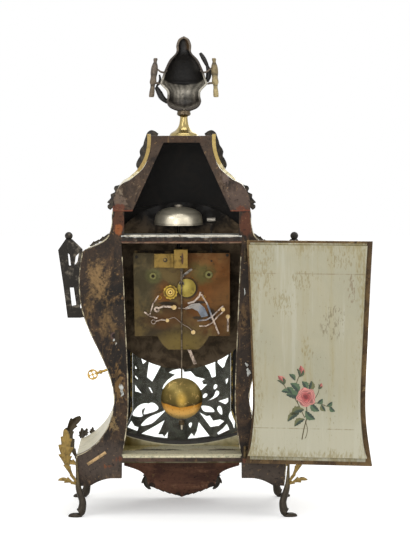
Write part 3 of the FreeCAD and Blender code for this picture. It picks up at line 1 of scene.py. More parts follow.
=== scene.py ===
"""Cartel clock seen from behind: finishes, surface pieces, studio and camera, in metres."""
import logging
import math
from dataclasses import dataclass
from enum import Enum
from typing import Any, Sequence

import bpy
import numpy as np
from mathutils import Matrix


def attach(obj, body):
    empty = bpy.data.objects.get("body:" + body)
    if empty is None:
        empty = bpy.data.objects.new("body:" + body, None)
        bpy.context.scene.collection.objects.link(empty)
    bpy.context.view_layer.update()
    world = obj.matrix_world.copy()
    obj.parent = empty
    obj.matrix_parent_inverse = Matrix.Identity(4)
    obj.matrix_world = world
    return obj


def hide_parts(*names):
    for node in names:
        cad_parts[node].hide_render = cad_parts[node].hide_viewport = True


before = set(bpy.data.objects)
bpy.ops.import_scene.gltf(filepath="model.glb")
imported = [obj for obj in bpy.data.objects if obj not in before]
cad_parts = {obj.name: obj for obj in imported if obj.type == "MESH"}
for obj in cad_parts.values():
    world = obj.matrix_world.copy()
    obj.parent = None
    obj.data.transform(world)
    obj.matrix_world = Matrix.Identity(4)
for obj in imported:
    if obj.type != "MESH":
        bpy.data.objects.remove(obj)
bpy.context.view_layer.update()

LOG = logging.getLogger("clock")
Colour = tuple[float, float, float]
Row = Sequence[float]
Rows = Sequence[Sequence[float]]
Socket = bpy.types.NodeSocket
Material = bpy.types.Material
MM = 0.001
WHITE = (1.0, 1.0, 1.0)
PAINT = "paint"
NO_FANS = np.empty((0, 3), int)


def srgb(red: int, green: int, blue: int) -> Colour:
    """Linear light of a display colour s of 0 to 1: s / 12.92 near black, else ((s + 0.055) / 1.055)^2.4."""
    share = np.array([red, green, blue]) / 255.0
    return tuple(np.where(share <= 0.04045, share / 12.92, ((share + 0.055) / 1.055) ** 2.4).tolist())


class Tone(Enum):
    """Colours that several finishes share."""

    BLACK = srgb(24, 19, 15)
    TAN = srgb(142, 112, 74)
    CREAM = srgb(214, 206, 180)
    CHALK = srgb(206, 208, 202)
    DOOR = srgb(169, 163, 137)


@dataclass(frozen=True)
class Patch:
    """A place on a finish where another colour shows: an ellipsoid with a ragged or clean edge."""

    centre: tuple[float, float, float]
    reach: tuple[float, float, float]
    colour: Colour
    cover: float = 0.8
    ragged: float = 4.0
    soft: float = 0.0


@dataclass(frozen=True)
class Band:
    """A level strip of another colour between two heights in metres."""

    low: float
    high: float
    colour: Colour
    cover: float = 0.8


def patches(depth: float, thick: float, *rows: tuple[Any, ...]) -> tuple[Patch, ...]:
    """Patches at one Y; a row holds X, height, reach in X and Z (all millimetres), colour and edge values."""
    return tuple(Patch((x * MM, depth * MM, z * MM), (a * MM, thick * MM, b * MM), srgb(*colour), *edge)
                 for x, z, a, b, colour, *edge in rows)


def discs(depth: float, thick: float, reach: float, colour: Sequence[int], *places: Row) -> tuple[Patch, ...]:
    """Clean round patches of one reach and colour at places of X and height, in millimetres."""
    return patches(depth, thick, *((x, z, reach, reach, colour, 1.0, 0.0) for x, z in places))


class Graph:
    """A node tree, with short calls for the nodes that the finishes use."""

    def __init__(self, owner: Material | bpy.types.World) -> None:
        """Starts an empty tree.

        Args:
            owner: the material or world that holds it.
        """
        owner.use_nodes = True
        self.owner = owner
        self.tree = owner.node_tree
        self.tree.nodes.clear()
        coords = self.add("TexCoord", {}).outputs
        self.place, self.normal = coords["Object"], coords["Normal"]

    def put(self, socket: Socket, value: Any) -> None:
        """Joins a socket to an output, or sets its constant.

        Args:
            socket: the input.
            value: an output, a number, a vector, a colour or a tone.
        """
        if isinstance(value, bpy.types.NodeSocket):
            self.tree.links.new(value, socket)
            return
        plain = value.value if isinstance(value, Tone) else value
        socket.default_value = (*plain, 1.0) if socket.type == "RGBA" else plain

    def add(self, kind: str, inputs: dict[str | int, Any], **options: str) -> bpy.types.Node:
        """Adds a node, sets its options and fills its inputs.

        Args:
            kind: the node's type without its prefix.
            inputs: outputs or constants by the input's name or number.
            options: settings such as the operation.

        Returns:
            The node.
        """
        node = self.tree.nodes.new("ShaderNode" + kind)
        for name, choice in options.items():
            setattr(node, name, choice)
        for key, value in inputs.items():
            self.put(node.inputs[key], value)
        return node

    def sum(self, kind: str, first: Any, second: Any = 0.0) -> Socket:
        """One step of arithmetic, by the operation's name."""
        return self.add("Math", {0: first, 1: second}, operation=kind).outputs[0]

    def plus(self, first: Any, second: Any) -> Socket:
        """First + second."""
        return self.sum("ADD", first, second)

    def minus(self, first: Any, second: Any) -> Socket:
        """First - second."""
        return self.sum("SUBTRACT", first, second)

    def times(self, first: Any, second: Any) -> Socket:
        """First x second."""
        return self.sum("MULTIPLY", first, second)

    def line(self, value: Socket, slope: float, base: float) -> Socket:
        """Straight line: slope x value + base."""
        return self.plus(self.times(value, slope), base)

    def sway(self, noise: Socket, weight: float) -> Socket:
        """Noise about zero: (noise - 0.5) x weight."""
        return self.times(self.minus(noise, 0.5), weight)

    def part(self, vector: Socket, axis: int) -> Socket:
        """One component of a vector, 0 to 2."""
        return self.add("SeparateXYZ", {0: vector}).outputs[axis]

    def noise(self, scale: float, detail: float = 5.0, rough: float = 0.6, stretch: Row = (1.0, 1.0, 1.0),
              warp: float = 0.0) -> Socket:
        """Noise over object coordinates.

        Args:
            scale: cells per metre.
            detail: octaves.
            rough: weight of the fine octaves.
            stretch: extra scale along each axis.
            warp: distortion.

        Returns:
            The noise value.
        """
        scaled = self.add("Mapping", {"Vector": self.place, "Scale": stretch}).outputs[0]
        return self.add("TexNoise", {"Vector": scaled, "Scale": scale, "Detail": detail, "Roughness": rough,
                                     "Distortion": warp}).outputs["Fac"]

    def step(self, value: Any, low: float, high: float) -> Socket:
        """Smooth rise from 0 at low to 1 at high, or a fall where low is above high.

        Args:
            value: the number to judge.
            low: where the result is 0.
            high: where the result is 1.

        Returns:
            The share from 0 to 1.
        """
        ends = {"From Min": min(low, high), "From Max": max(low, high),
                "To Min": float(low > high), "To Max": float(low < high)}
        return self.add("MapRange", {"Value": value, **ends}, interpolation_type="SMOOTHSTEP").outputs[0]

    def near(self, centre: Row, reach: Row) -> Socket:
        """Share that falls from 1 at a point to 0 on an ellipsoid: a step over |(p - centre) / reach|.

        Args:
            centre: the point in metres.
            reach: half axes in metres.

        Returns:
            The share from 0 to 1.
        """
        shift = self.add("VectorMath", {0: self.place, 1: centre}, operation="SUBTRACT").outputs[0]
        ratio = self.add("VectorMath", {0: shift, 1: reach}, operation="DIVIDE").outputs[0]
        length = self.add("VectorMath", {0: ratio}, operation="LENGTH").outputs["Value"]
        return self.step(length, 1.0, 0.0)

    def shows(self, patch: Patch, noise: Socket) -> Socket:
        """Share of a patch: a step over cover x near + sway of the noise, kept within the ellipsoid.

        Args:
            patch: the patch.
            noise: noise round 0.5.

        Returns:
            The share from 0 to 1.
        """
        near = self.near(patch.centre, patch.reach)
        inside = self.plus(self.times(near, patch.cover), self.sway(noise, patch.ragged))
        share = self.step(inside, 0.3 - patch.soft, 0.55 + patch.soft)
        return self.times(share, self.step(near, 0.02, 0.3))

    def level(self, band: Band, noise: Socket, wave: float = 0.012, soft: float = 0.0005) -> Socket:
        """Share of a level strip whose edges follow the noise.

        Args:
            band: the strip.
            noise: noise round 0.5.
            wave: how far the edges wander, in metres.
            soft: half width of an edge.

        Returns:
            The share from 0 to 1.
        """
        z = self.plus(self.part(self.place, 2), self.sway(noise, wave))
        above = self.step(z, band.low - soft, band.low + soft)
        below = self.step(z, band.high + soft, band.high - soft)
        return self.times(self.times(above, below), band.cover)

    def mix(self, share: Any, first: Any, second: Any) -> Socket:
        """Blend of two colours.

        Args:
            share: 0 for the first, 1 for the second.
            first: first colour.
            second: second colour.

        Returns:
            The blended colour.
        """
        node = self.add("Mix", {"Factor": share}, data_type="RGBA")
        for socket, colour in zip((s for s in node.inputs if s.type == "RGBA"), (first, second)):
            self.put(socket, colour)
        return next(s for s in node.outputs if s.type == "RGBA")

    def tint(self, colour: Any, other: Any, share: Socket, weight: float) -> Socket:
        """Colour turned towards another by share x weight."""
        return self.mix(self.times(share, weight), colour, other)

    def seen(self) -> Socket:
        """Share that is 1 for rays from the camera, off metal or through glass.

        Returns:
            The share from 0 to 1.
        """
        path, largest = self.add("LightPath", {}).outputs, "MAXIMUM"
        return self.sum(largest, self.sum(largest, path["Is Camera Ray"], path["Is Glossy Ray"]),
                        path["Is Transmission Ray"])

    def surface(self, colour: Any, rough: Any, metal: Any, height: Socket, depth: float, coat: float = 0.0,
                clear: float = 0.0, gloss: float = 0.5) -> Material:
        """Closes the tree with one surface shader.

        Args:
            colour: base colour.
            rough: roughness.
            metal: metallic share.
            height: output that drives the bump.
            depth: bump distance in metres.
            coat: weight of the varnish layer.
            clear: transmission.
            gloss: level of the clear reflection.

        Returns:
            The finished material.
        """
        bump = self.add("Bump", {"Distance": depth, "Height": height}).outputs[0]
        shader = self.add("BsdfPrincipled", {
            "Base Color": colour, "Roughness": rough, "Metallic": metal, "Coat Weight": coat, "Normal": bump,
            "Specular IOR Level": gloss, "Transmission Weight": clear, "IOR": 1.5 - 0.4 * clear})
        self.add("OutputMaterial", {"Surface": shader.outputs[0]})
        return self.owner


@dataclass(frozen=True)
class Finish:
    """A finish by its material's name."""

    name: str

    def graph(self) -> Graph:
        """An empty tree in a new material."""
        return Graph(bpy.data.materials.new(self.name))

    def material(self) -> Material:
        """Builds the material."""
        raise NotImplementedError


@dataclass(frozen=True)
class WornVeneer(Finish):
    """Dark veneer with old varnish, rubbed to lighter wood in patches."""

    base: Colour = srgb(46, 36, 28)
    dark: Colour = Tone.BLACK.value
    mid: Colour = srgb(80, 60, 42)
    worn: Colour = Tone.TAN.value
    wear: float = 0.57
    patches: tuple[Patch, ...] = ()
    bands: tuple[Band, ...] = ()
    grain: tuple[float, float, float] = (1.0, 1.0, 0.5)
    scratch: tuple[float, float, float] = (1.0, 1.0, 0.05)

    def material(self) -> Material:
        """Builds the material.

        Returns:
            The material.
        """
        g = self.graph()
        grain = g.noise(46, 8, 0.72, self.grain, 1.1)
        blotch = g.noise(15, 6, 0.65, (1.0, 1.0, 0.8), 0.7)
        fine = g.noise(260, 4)
        scratch = g.noise(170, 3, 0.6, self.scratch)
        mixed = g.plus(g.plus(g.times(grain, 0.5), g.times(blotch, 0.3)), g.times(fine, 0.2))
        colour = g.mix(g.step(blotch, 0.4, 0.6), self.base, self.dark)
        colour = g.tint(colour, self.mid, g.step(grain, 0.46, 0.62), 0.6)
        colour = g.tint(colour, self.worn, g.step(mixed, self.wear - 0.02, self.wear + 0.05), 0.8)
        for patch in self.patches:
            colour = g.tint(colour, patch.colour, g.shows(patch, mixed), 0.9)
        for band in self.bands:
            colour = g.mix(g.level(band, mixed), colour, band.colour)
        colour = g.tint(colour, Tone.TAN, g.step(scratch, 0.64, 0.74), 0.45)
        colour = g.tint(colour, Tone.TAN, g.step(fine, 0.61, 0.7), 0.5)
        colour = g.tint(colour, Tone.BLACK, g.step(fine, 0.42, 0.32), 0.7)
        return g.surface(colour, g.line(blotch, 0.35, 0.4), 0.0, mixed, 0.0012, gloss=0.2)


@dataclass(frozen=True)
class PaintedSide(Finish):
    """Cream painted outside with faint green sprays; dark inside, olive near the floor."""

    inner: Colour = srgb(18, 15, 12)
    floor_low: float = 0.1
    floor_high: float = 0.113

    def material(self) -> Material:
        """Builds the material; a face counts as inside where its normal points to the case's middle or rear.

        Returns:
            The material.
        """
        g = self.graph()
        fine = g.noise(140, 5, 0.65)
        cloud = g.noise(30, 4, warp=1.2)
        spray = g.noise(46, 3, 0.5, warp=3.0)
        cloudy = g.step(cloud, 0.4, 0.7)
        colour = g.mix(cloudy, Tone.CREAM, srgb(198, 191, 164))
        colour = g.tint(colour, srgb(122, 132, 98), g.step(spray, 0.58, 0.66), 0.4)
        colour = g.tint(colour, srgb(110, 92, 62), g.step(fine, 0.36, 0.28), 0.6)
        outward = g.times(g.part(g.normal, 0), g.sum("SIGN", g.part(g.place, 0)))
        back = g.sum("MAXIMUM", g.times(outward, -1.0), g.times(g.part(g.normal, 1), -1.0))
        inside = g.step(back, 0.05, 0.2)
        olive = g.mix(g.step(cloud, 0.42, 0.6), srgb(112, 102, 62), srgb(176, 168, 134))
        low = g.step(g.part(g.place, 2), self.floor_high, self.floor_low)
        dark = g.tint(g.mix(cloudy, self.inner, srgb(28, 23, 17)), olive, low, 0.85)
        return g.surface(g.mix(inside, colour, dark), g.line(inside, 0.35, 0.42), 0.0, fine, 0.0003)


@dataclass(frozen=True)
class DoorPaint(Finish):
    """Old cream paint with upright streaks, dashes, stained borders and the clamps' joint lines."""

    base: Colour = Tone.DOOR.value
    stain: Colour = srgb(140, 126, 82)
    joints: tuple[float, float] = (0.134, 0.359)
    left: tuple[float, float] = (0.124, 0.099)
    right: tuple[float, float] = (0.243, 0.266)
    top: tuple[float, float] = (0.372, 0.408)
    bottom: tuple[float, float] = (0.112, 0.093)
    marks: tuple[Patch, ...] = patches(
        -100, 60,
        (244.5, 338, 9, 34, (104, 72, 34), 0.75, 3.6), (148, 316, 30, 26, (132, 118, 68), 0.45, 4.2),
        (176, 350, 30, 20, (126, 112, 64), 0.45, 4.2), (218, 290, 26, 40, (92, 80, 48), 0.38, 4.6),
        (230, 378, 34, 16, (124, 110, 64), 0.5, 4.2), (120, 360, 18, 50, (136, 120, 70), 0.5, 4.2),
        (180, 250, 10, 30, (140, 126, 78), 0.5, 4.2))

    def material(self) -> Material:
        """Builds the material.

        Returns:
            The material.
        """
        g = self.graph()
        streak = g.noise(70, 6, 0.65, (1.0, 1.0, 0.06))
        brush = g.noise(420, 3, 0.6, (1.0, 1.0, 0.06))
        cloud = g.noise(9, warp=0.5)
        dash = g.noise(430, 4, 0.6, (1.0, 1.0, 0.3), 0.4)
        speck = g.noise(300, 3, 0.6, (1.0, 1.0, 0.5))
        x, z = g.part(g.place, 0), g.part(g.place, 2)
        colour = g.mix(g.step(cloud, 0.34, 0.64), self.base, srgb(162, 158, 134))
        colour = g.tint(colour, srgb(158, 146, 104), g.step(streak, 0.5, 0.7), 0.55)
        colour = g.tint(colour, srgb(186, 184, 166), g.step(streak, 0.45, 0.32), 0.45)
        colour = g.tint(colour, srgb(190, 186, 164), g.step(z, 0.2, 0.12), 0.6)
        rim = g.step(x, *self.left)
        for value, edge in ((x, self.right), (z, self.top), (z, self.bottom)):
            rim = g.sum("MAXIMUM", rim, g.step(value, *edge))
        stain = g.plus(g.plus(g.times(rim, 0.55), g.sway(streak, 1.6)), g.sway(dash, 2.0))
        colour = g.tint(colour, self.stain, g.step(stain, 0.2, 0.8), 0.75)
        for mark in self.marks:
            colour = g.tint(colour, mark.colour, g.shows(mark, dash), 0.48)
        often = g.plus(dash, g.sway(cloud, 0.5))
        colour = g.tint(colour, srgb(112, 98, 58), g.step(often, 0.66, 0.74), 0.65)
        colour = g.tint(colour, srgb(92, 78, 50), g.step(speck, 0.71, 0.76), 0.7)
        for height in self.joints:
            gap = g.step(g.sum("ABSOLUTE", g.minus(z, height)), 0.0011, 0.0002)
            colour = g.tint(colour, srgb(118, 104, 72), g.times(gap, g.step(streak, 0.38, 0.6)), 0.7)
        return g.surface(colour, g.line(cloud, 0.25, 0.42), 0.0, brush, 0.0004)


@dataclass(frozen=True)
class Metal(Finish):
    """Cast or turned metal with a darker film in its hollows and patches; hold is its metallic share."""

    bright: Colour
    film: Colour
    rough: float = 0.35
    film_share: float = 0.5
    grain: float = 90.0
    relief: float = 0.0002
    patches: tuple[Patch, ...] = ()
    hold: float = 1.0

    def material(self) -> Material:
        """Builds the material.

        Returns:
            The material.
        """
        g = self.graph()
        cloud = g.noise(self.grain, 6, 0.68, warp=0.5)
        fine = g.noise(self.grain * 6, 3)
        cut = 0.75 - 0.5 * self.film_share
        film = g.step(cloud, cut - 0.1, cut + 0.1)
        colour = g.mix(film, self.bright, self.film)
        for patch in self.patches:
            colour = g.mix(g.shows(patch, cloud), colour, patch.colour)
        colour = g.tint(colour, self.film, g.step(fine, 0.6, 0.7), 0.5)
        rough = g.plus(g.times(film, 0.25), g.line(fine, 0.12, self.rough - 0.06))
        metal = g.minus(self.hold, g.times(film, 0.25 * self.hold))
        return g.surface(colour, rough, metal, cloud, self.relief)


@dataclass(frozen=True)
class BobBrass(Finish):
    """Lacquered brass painted with reflections: olive above (tarnish and a painted reflection), a dark
    painted reflection band below the middle and the lit floor's painted reflection under it.
    """

    middle: float = 0.170
    # painted reflection colours by height from the bob's middle: the dark room above, a dark band, the lit
    # floor below
    reflection_stops: tuple[tuple[float, Colour], ...] = (
        (-0.0300, srgb(172, 150, 100)), (-0.0210, srgb(206, 158, 82)), (-0.0130, srgb(178, 122, 42)),
        (-0.0112, srgb(58, 46, 18)), (-0.0060, srgb(78, 66, 28)), (0.0040, srgb(98, 83, 38)),
        (0.0180, srgb(108, 93, 48)), (0.0300, srgb(90, 77, 39)))
    curve: float = 8.0

    def material(self) -> Material:
        """Builds the material; its painted reflection bands follow z - curve x^2, with a painted highlight
        and flecks.

        Returns:
            The material.
        """
        g = self.graph()
        cloud = g.noise(60, warp=0.6)
        fine = g.noise(500, 3)
        spot = g.noise(150, 5, 0.65, warp=0.8)
        x = g.part(g.place, 0)
        height = g.plus(g.minus(g.part(g.place, 2), self.middle), g.sway(cloud, 0.006))
        z = g.minus(height, g.times(g.times(x, x), self.curve))
        # painted reflections: the colour changes in bands by height
        colour: Any = self.reflection_stops[0][1]
        for (low, _), (high, shade) in zip(self.reflection_stops, self.reflection_stops[1:]):
            colour = g.mix(g.step(z, low, high), colour, shade)
        colour = g.tint(colour, srgb(84, 66, 32), g.step(fine, 0.56, 0.68), 0.5)
        # painted highlight: a bright spot at the bob's middle
        painted_highlight = g.near((0.0, -0.06, self.middle - 0.002), (0.011, 0.03, 0.016))
        colour = g.tint(colour, srgb(188, 152, 68), painted_highlight, 0.75)
        # painted highlight flecks where the spot noise is high
        colour = g.tint(colour, srgb(206, 170, 104), g.step(spot, 0.56, 0.64), 0.35)
        return g.surface(colour, g.line(cloud, 0.15, 0.24), 0.8, spot, 0.00003)


@dataclass(frozen=True)
class Plain(Finish):
    """A nearly even finish with slight clouds."""

    light: Colour
    dark: Colour
    rough: float = 0.5
    grain: float = 60.0
    coat: float = 0.0
    clear: float = 0.0

    def material(self) -> Material:
        """Builds the material; a clear one is dark on its edges.

        Returns:
            The material.
        """
        g = self.graph()
        cloud = g.noise(self.grain)
        colour = g.mix(g.step(cloud, 0.35, 0.65), self.light, self.dark)
        if self.clear:
            facing = g.sum("ABSOLUTE", g.part(g.normal, 1))
            colour = g.mix(g.step(facing, 0.6, 0.3), colour, srgb(26, 28, 25))
        rough, gloss = g.line(cloud, 0.1, self.rough - 0.05), 0.5 - 0.4 * self.clear
        return g.surface(colour, rough, 0.0, cloud, 0.0001, self.coat, self.clear, gloss)


@dataclass(frozen=True)
class Painted(Finish):
    """A finish whose colour comes from the mesh's paint attribute, with clouds and fine relief."""

    rough: float = 0.5
    metal: float = 0.0
    grain: float = 150.0
    spread: float = 0.25
    relief: float = 0.0003

    def material(self) -> Material:
        """Builds the material.

        Returns:
            The material.
        """
        g = self.graph()
        cloud = g.noise(self.grain, 5, 0.65, warp=0.4)
        paint = g.add("Attribute", {}, attribute_name=PAINT).outputs["Color"]
        dark = g.mix(self.spread * 2.0, paint, (0.012, 0.009, 0.006))
        colour = g.mix(g.step(cloud, 0.42, 0.72), paint, dark)
        return g.surface(colour, g.line(cloud, 0.3, self.rough - 0.15), self.metal, cloud, self.relief)


@dataclass(frozen=True)
class WornEdge(Finish):
    """Cream filler that shows where the veneer's edge is rubbed, broken by dark varnish."""

    pale: Colour = srgb(196, 184, 152)
    dark: Colour = srgb(58, 44, 32)
    cut: float = 0.52

    def material(self) -> Material:
        """Builds the material.

        Returns:
            The material.
        """
        g = self.graph()
        broken, fine = g.noise(70, 6, 0.7), g.noise(500, 3)
        colour = g.mix(g.step(broken, self.cut - 0.08, self.cut + 0.08), self.pale, self.dark)
        colour = g.tint(colour, srgb(112, 90, 58), g.step(fine, 0.5, 0.7), 0.6)
        return g.surface(colour, 0.7, 0.0, fine, 0.0003)


@dataclass
class Shell:
    """One closed surface: its points, its four- and three-sided faces and a colour at each point."""

    points: np.ndarray
    quads: np.ndarray
    fans: np.ndarray
    paint: np.ndarray

    def outward(self) -> "Shell":
        """Turns the faces outward: the signed volume, a sum of a . (b x c) / 6, must be above zero.

        Returns:
            This shell or its turned copy.
        """
        halves = (self.quads[:, :3], self.quads[:, [0, 2, 3]], self.fans)
        corners = self.points[np.concatenate(halves)]
        volume = np.einsum("ij,ij->i", corners[:, 0], np.cross(corners[:, 1], corners[:, 2])).sum()
        if volume >= 0:
            return self
        return Shell(self.points, self.quads[:, ::-1], self.fans[:, ::-1], self.paint)

    def moved(self, turn: np.ndarray, shift: Row) -> "Shell":
        """Copy with every point p carried to turn p + shift, in metres."""
        points = self.points @ turn.T + np.asarray(shift, float)
        return Shell(points, self.quads, self.fans, self.paint).outward()


def even_paint(colour: Colour, *shape: int) -> np.ndarray:
    """The same colour at every place of a grid."""
    return np.tile(np.array(colour), (*shape, 1))


def blend(share: np.ndarray, first: Colour, second: Colour) -> np.ndarray:
    """Mixes two colours: (1 - s) first + s second at each point, with s held to 0 and 1."""
    s = np.clip(share, 0.0, 1.0)[..., None]
    return (1 - s) * np.array(first) + s * np.array(second)


def smooth(value: np.ndarray, low: float, high: float) -> np.ndarray:
    """Smooth step 3 t^2 - 2 t^3 with t from 0 at low to 1 at high."""
    t = np.clip((value - low) / (high - low), 0.0, 1.0)
    return t * t * (3 - 2 * t)


def hump(value: np.ndarray, middle: float, width: float) -> np.ndarray:
    """Bell curve exp(-((value - middle) / width)^2)."""
    return np.exp(-((value - middle) / width) ** 2)


def unit(vectors: np.ndarray) -> np.ndarray:
    """Vectors scaled to length one."""
    return vectors / np.maximum(np.linalg.norm(vectors, axis=-1, keepdims=True), 1e-12)


def angles(count: int) -> np.ndarray:
    """Equal steps round a circle, without the last."""
    return np.linspace(0.0, 2 * np.pi, count, endpoint=False)


def heading(degrees: float) -> tuple[float, float]:
    """Cosine and sine of an angle in degrees."""
    return math.cos(math.radians(degrees)), math.sin(math.radians(degrees))


def spline(knots: Rows, count: int) -> np.ndarray:
    """Catmull-Rom curve through knots: P = (2 P1 + (P2 - P0) f + (2 P0 - 5 P1 + 4 P2 - P3) f^2 + ...) / 2.

    Args:
        knots: the points, each with any number of values.
        count: number of samples.

    Returns:
        The samples, one row each.
    """
    p = np.asarray(knots, float)
    padded = np.vstack([2 * p[0] - p[1], p, 2 * p[-1] - p[-2]])
    t = np.linspace(0.0, len(p) - 1.0, count)
    i = np.minimum(t.astype(int), len(p) - 2)
    f = (t - i)[:, None]
    a, b, c, d = padded[i], padded[i + 1], padded[i + 2], padded[i + 3]
    square, cube = 2 * a - 5 * b + 4 * c - d, 3 * b - a - 3 * c + d
    return 0.5 * (2 * b + (c - a) * f + square * f ** 2 + cube * f ** 3)


def ring_shell(rings: np.ndarray, paint: np.ndarray) -> Shell:
    """Closed surface over rings of points, shut at both ends by fans round the end rings' middles.

    Args:
        rings: array (n, m, 3).
        paint: colours (n, m, 3).

    Returns:
        The shell.
    """
    n, m = rings.shape[:2]
    ids = np.arange(n * m).reshape(n, m)
    after = np.roll(ids, -1, axis=1)
    quads = np.stack([ids[:-1], after[:-1], after[1:], ids[1:]], axis=-1).reshape(-1, 4)
    first = np.stack([after[0], ids[0], np.full(m, n * m)], axis=-1)
    last = np.stack([ids[-1], after[-1], np.full(m, n * m + 1)], axis=-1)
    points = np.vstack([rings.reshape(-1, 3), rings[0].mean(0), rings[-1].mean(0)])
    colours = np.vstack([paint.reshape(-1, 3), paint[0].mean(0), paint[-1].mean(0)])
    return Shell(points, quads, np.vstack([first, last]), colours).outward()


def sheet_shell(face: np.ndarray, back: np.ndarray, paint: np.ndarray) -> Shell:
    """Closed thin solid between two grids that share their layout.

    Args:
        face: array (n, m, 3).
        back: array (n, m, 3).
        paint: colours (n, m, 3) for both sides.

    Returns:
        The shell.
    """
    n, m = face.shape[:2]
    ids = np.arange(n * m).reshape(n, m)
    quads = np.stack([ids[:-1, :-1], ids[:-1, 1:], ids[1:, 1:], ids[1:, :-1]], axis=-1).reshape(-1, 4)
    rim = np.concatenate([ids[0], ids[1:, -1], ids[-1, -2::-1], ids[-2:0:-1, 0]])
    beside = np.roll(rim, -1)
    edge = np.stack([beside, rim, rim + n * m, beside + n * m], axis=-1)
    points = np.vstack([face.reshape(-1, 3), back.reshape(-1, 3)])
    colours = np.vstack([paint.reshape(-1, 3)] * 2)
    return Shell(points, np.vstack([quads, quads[:, ::-1] + n * m, edge]), NO_FANS, colours).outward()


def tube(path: np.ndarray, radii: np.ndarray, paint: np.ndarray, sides: int = 12) -> Shell:
    """Sweep of an ellipse: P(t, a) = C(t) + r1(t) cos a U(t) + r2(t) sin a W(t), with W near the Y axis.

    Args:
        path: centre line (n, 3).
        radii: half axes (n, 2) along U and along W.
        paint: one colour per station (n, 3).
        sides: points round the section.

    Returns:
        The closed tube.
    """
    along = unit(np.gradient(path, axis=0))
    u = unit(np.cross(along, np.array([0.0, 1.0, 0.0])))
    w = np.cross(u, along)
    a = angles(sides)[None, :, None]
    r1, r2 = radii[:, None, :1], radii[:, None, 1:]
    ring = path[:, None] + r1 * np.cos(a) * u[:, None] + r2 * np.sin(a) * w[:, None]
    return ring_shell(ring, np.repeat(paint[:, None], sides, axis=1))


def hoop(section: np.ndarray, paint: Colour, sides: int = 96) -> Shell:
    """Closed section swept round the Y axis: P(t, a) = (r(t) cos a, y(t), r(t) sin a), shut both ways.

    Args:
        section: rows of radius and Y.
        paint: its colour.
        sides: points round the axis.

    Returns:
        The hoop, round the origin.
    """
    a = angles(sides)
    r, y = section[:, :1], section[:, 1:]
    grid = np.stack([r * np.cos(a), np.broadcast_to(y, (len(section), sides)), r * np.sin(a)], axis=-1)
    ids = np.arange(len(section) * sides).reshape(len(section), sides)
    right, up = np.roll(ids, -1, axis=1), np.roll(ids, -1, axis=0)
    quads = np.stack([ids, right, np.roll(right, -1, axis=0), up], axis=-1).reshape(-1, 4)
    return Shell(grid.reshape(-1, 3), quads, NO_FANS, even_paint(paint, ids.size)).outward()


def lathe(profile: np.ndarray, axis: Row, paint: np.ndarray, sides: int) -> Shell:
    """Turned solid: P(t, a) = (X + r(t) cos a, Y + r(t) sin a, z(t)).

    Args:
        profile: rows of radius and height, in millimetres.
        axis: X and Y of the axis, in millimetres.
        paint: one colour per row (n, 3).
        sides: points round the axis.

    Returns:
        The closed solid.
    """
    a = angles(sides)
    r, z = profile[:, :1], np.broadcast_to(profile[:, 1:], (len(profile), sides))
    ring = np.stack([axis[0] + r * np.cos(a), axis[1] + r * np.sin(a), z], axis=-1) * MM
    return ring_shell(ring, np.repeat(paint[:, None], sides, axis=1))


def block(low: Row, high: Row, colour: Colour) -> Shell:
    """Box of one colour between its lowest and highest corners.

    Args:
        low: lowest corner in metres.
        high: highest corner.
        colour: its colour.

    Returns:
        The box.
    """
    x, z = np.meshgrid([low[0], high[0]], [low[2], high[2]])
    face = np.stack([x, np.full_like(x, low[1]), z], axis=-1)
    return sheet_shell(face, face + np.array([0.0, high[1] - low[1], 0.0]), even_paint(colour, 2, 2))


class Body(Enum):
    """Bodies that the scene's own pieces ride on."""

    CASE = "case"
    REAR_DOOR = "rear_door"


def piece(name: str, shells: Sequence[Shell], material: Material, replaces: Sequence[str] = (),
          body: Body = Body.CASE) -> None:
    """Makes one object from shells and ties it to its body.

    Args:
        name: the object's name.
        shells: its surfaces.
        material: its finish.
        replaces: CAD nodes that it stands for.
        body: the body that it rides on.
    """
    starts = np.cumsum([0] + [len(s.points) for s in shells[:-1]])
    points, paint = np.vstack([s.points for s in shells]), np.vstack([s.paint for s in shells])
    faces = [row for s, k in zip(shells, starts)
             for part in (s.quads + k, s.fans + k) for row in part.tolist()]
    mesh = bpy.data.meshes.new(name)
    mesh.from_pydata(points.tolist(), [], faces)
    layer = mesh.color_attributes.new(PAINT, "FLOAT_COLOR", "POINT")
    layer.data.foreach_set("color", np.hstack([paint, np.ones((len(paint), 1))]).ravel())
    mesh.polygons.foreach_set("use_smooth", np.ones(len(faces), bool))
    mesh.materials.append(material)
    mesh.update()
    made = bpy.data.objects.new(name, mesh)
    bpy.context.scene.collection.objects.link(made)
    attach(made, body.value)
    if replaces:
        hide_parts(*replaces)
    LOG.info("piece %s: %d faces on %s", name, len(faces), body.value)


def dress(finish: Finish, *nodes: str) -> None:
    """Gives CAD nodes a finish.

    Args:
        finish: the finish to build.
        nodes: the nodes' names.
    """
    material = finish.material()
    for name in nodes:
        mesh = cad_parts[name].data
        mesh.materials.clear()
        mesh.materials.append(material)
    LOG.info("finish %s on %s", finish.name, ", ".join(nodes))


class Corner(Enum):
    """The four corners, as signs of X and Y."""

    REAR_LEFT = (-1.0, -1.0)
    REAR_RIGHT = (1.0, -1.0)
    FRONT_LEFT = (-1.0, 1.0)
    FRONT_RIGHT = (1.0, 1.0)


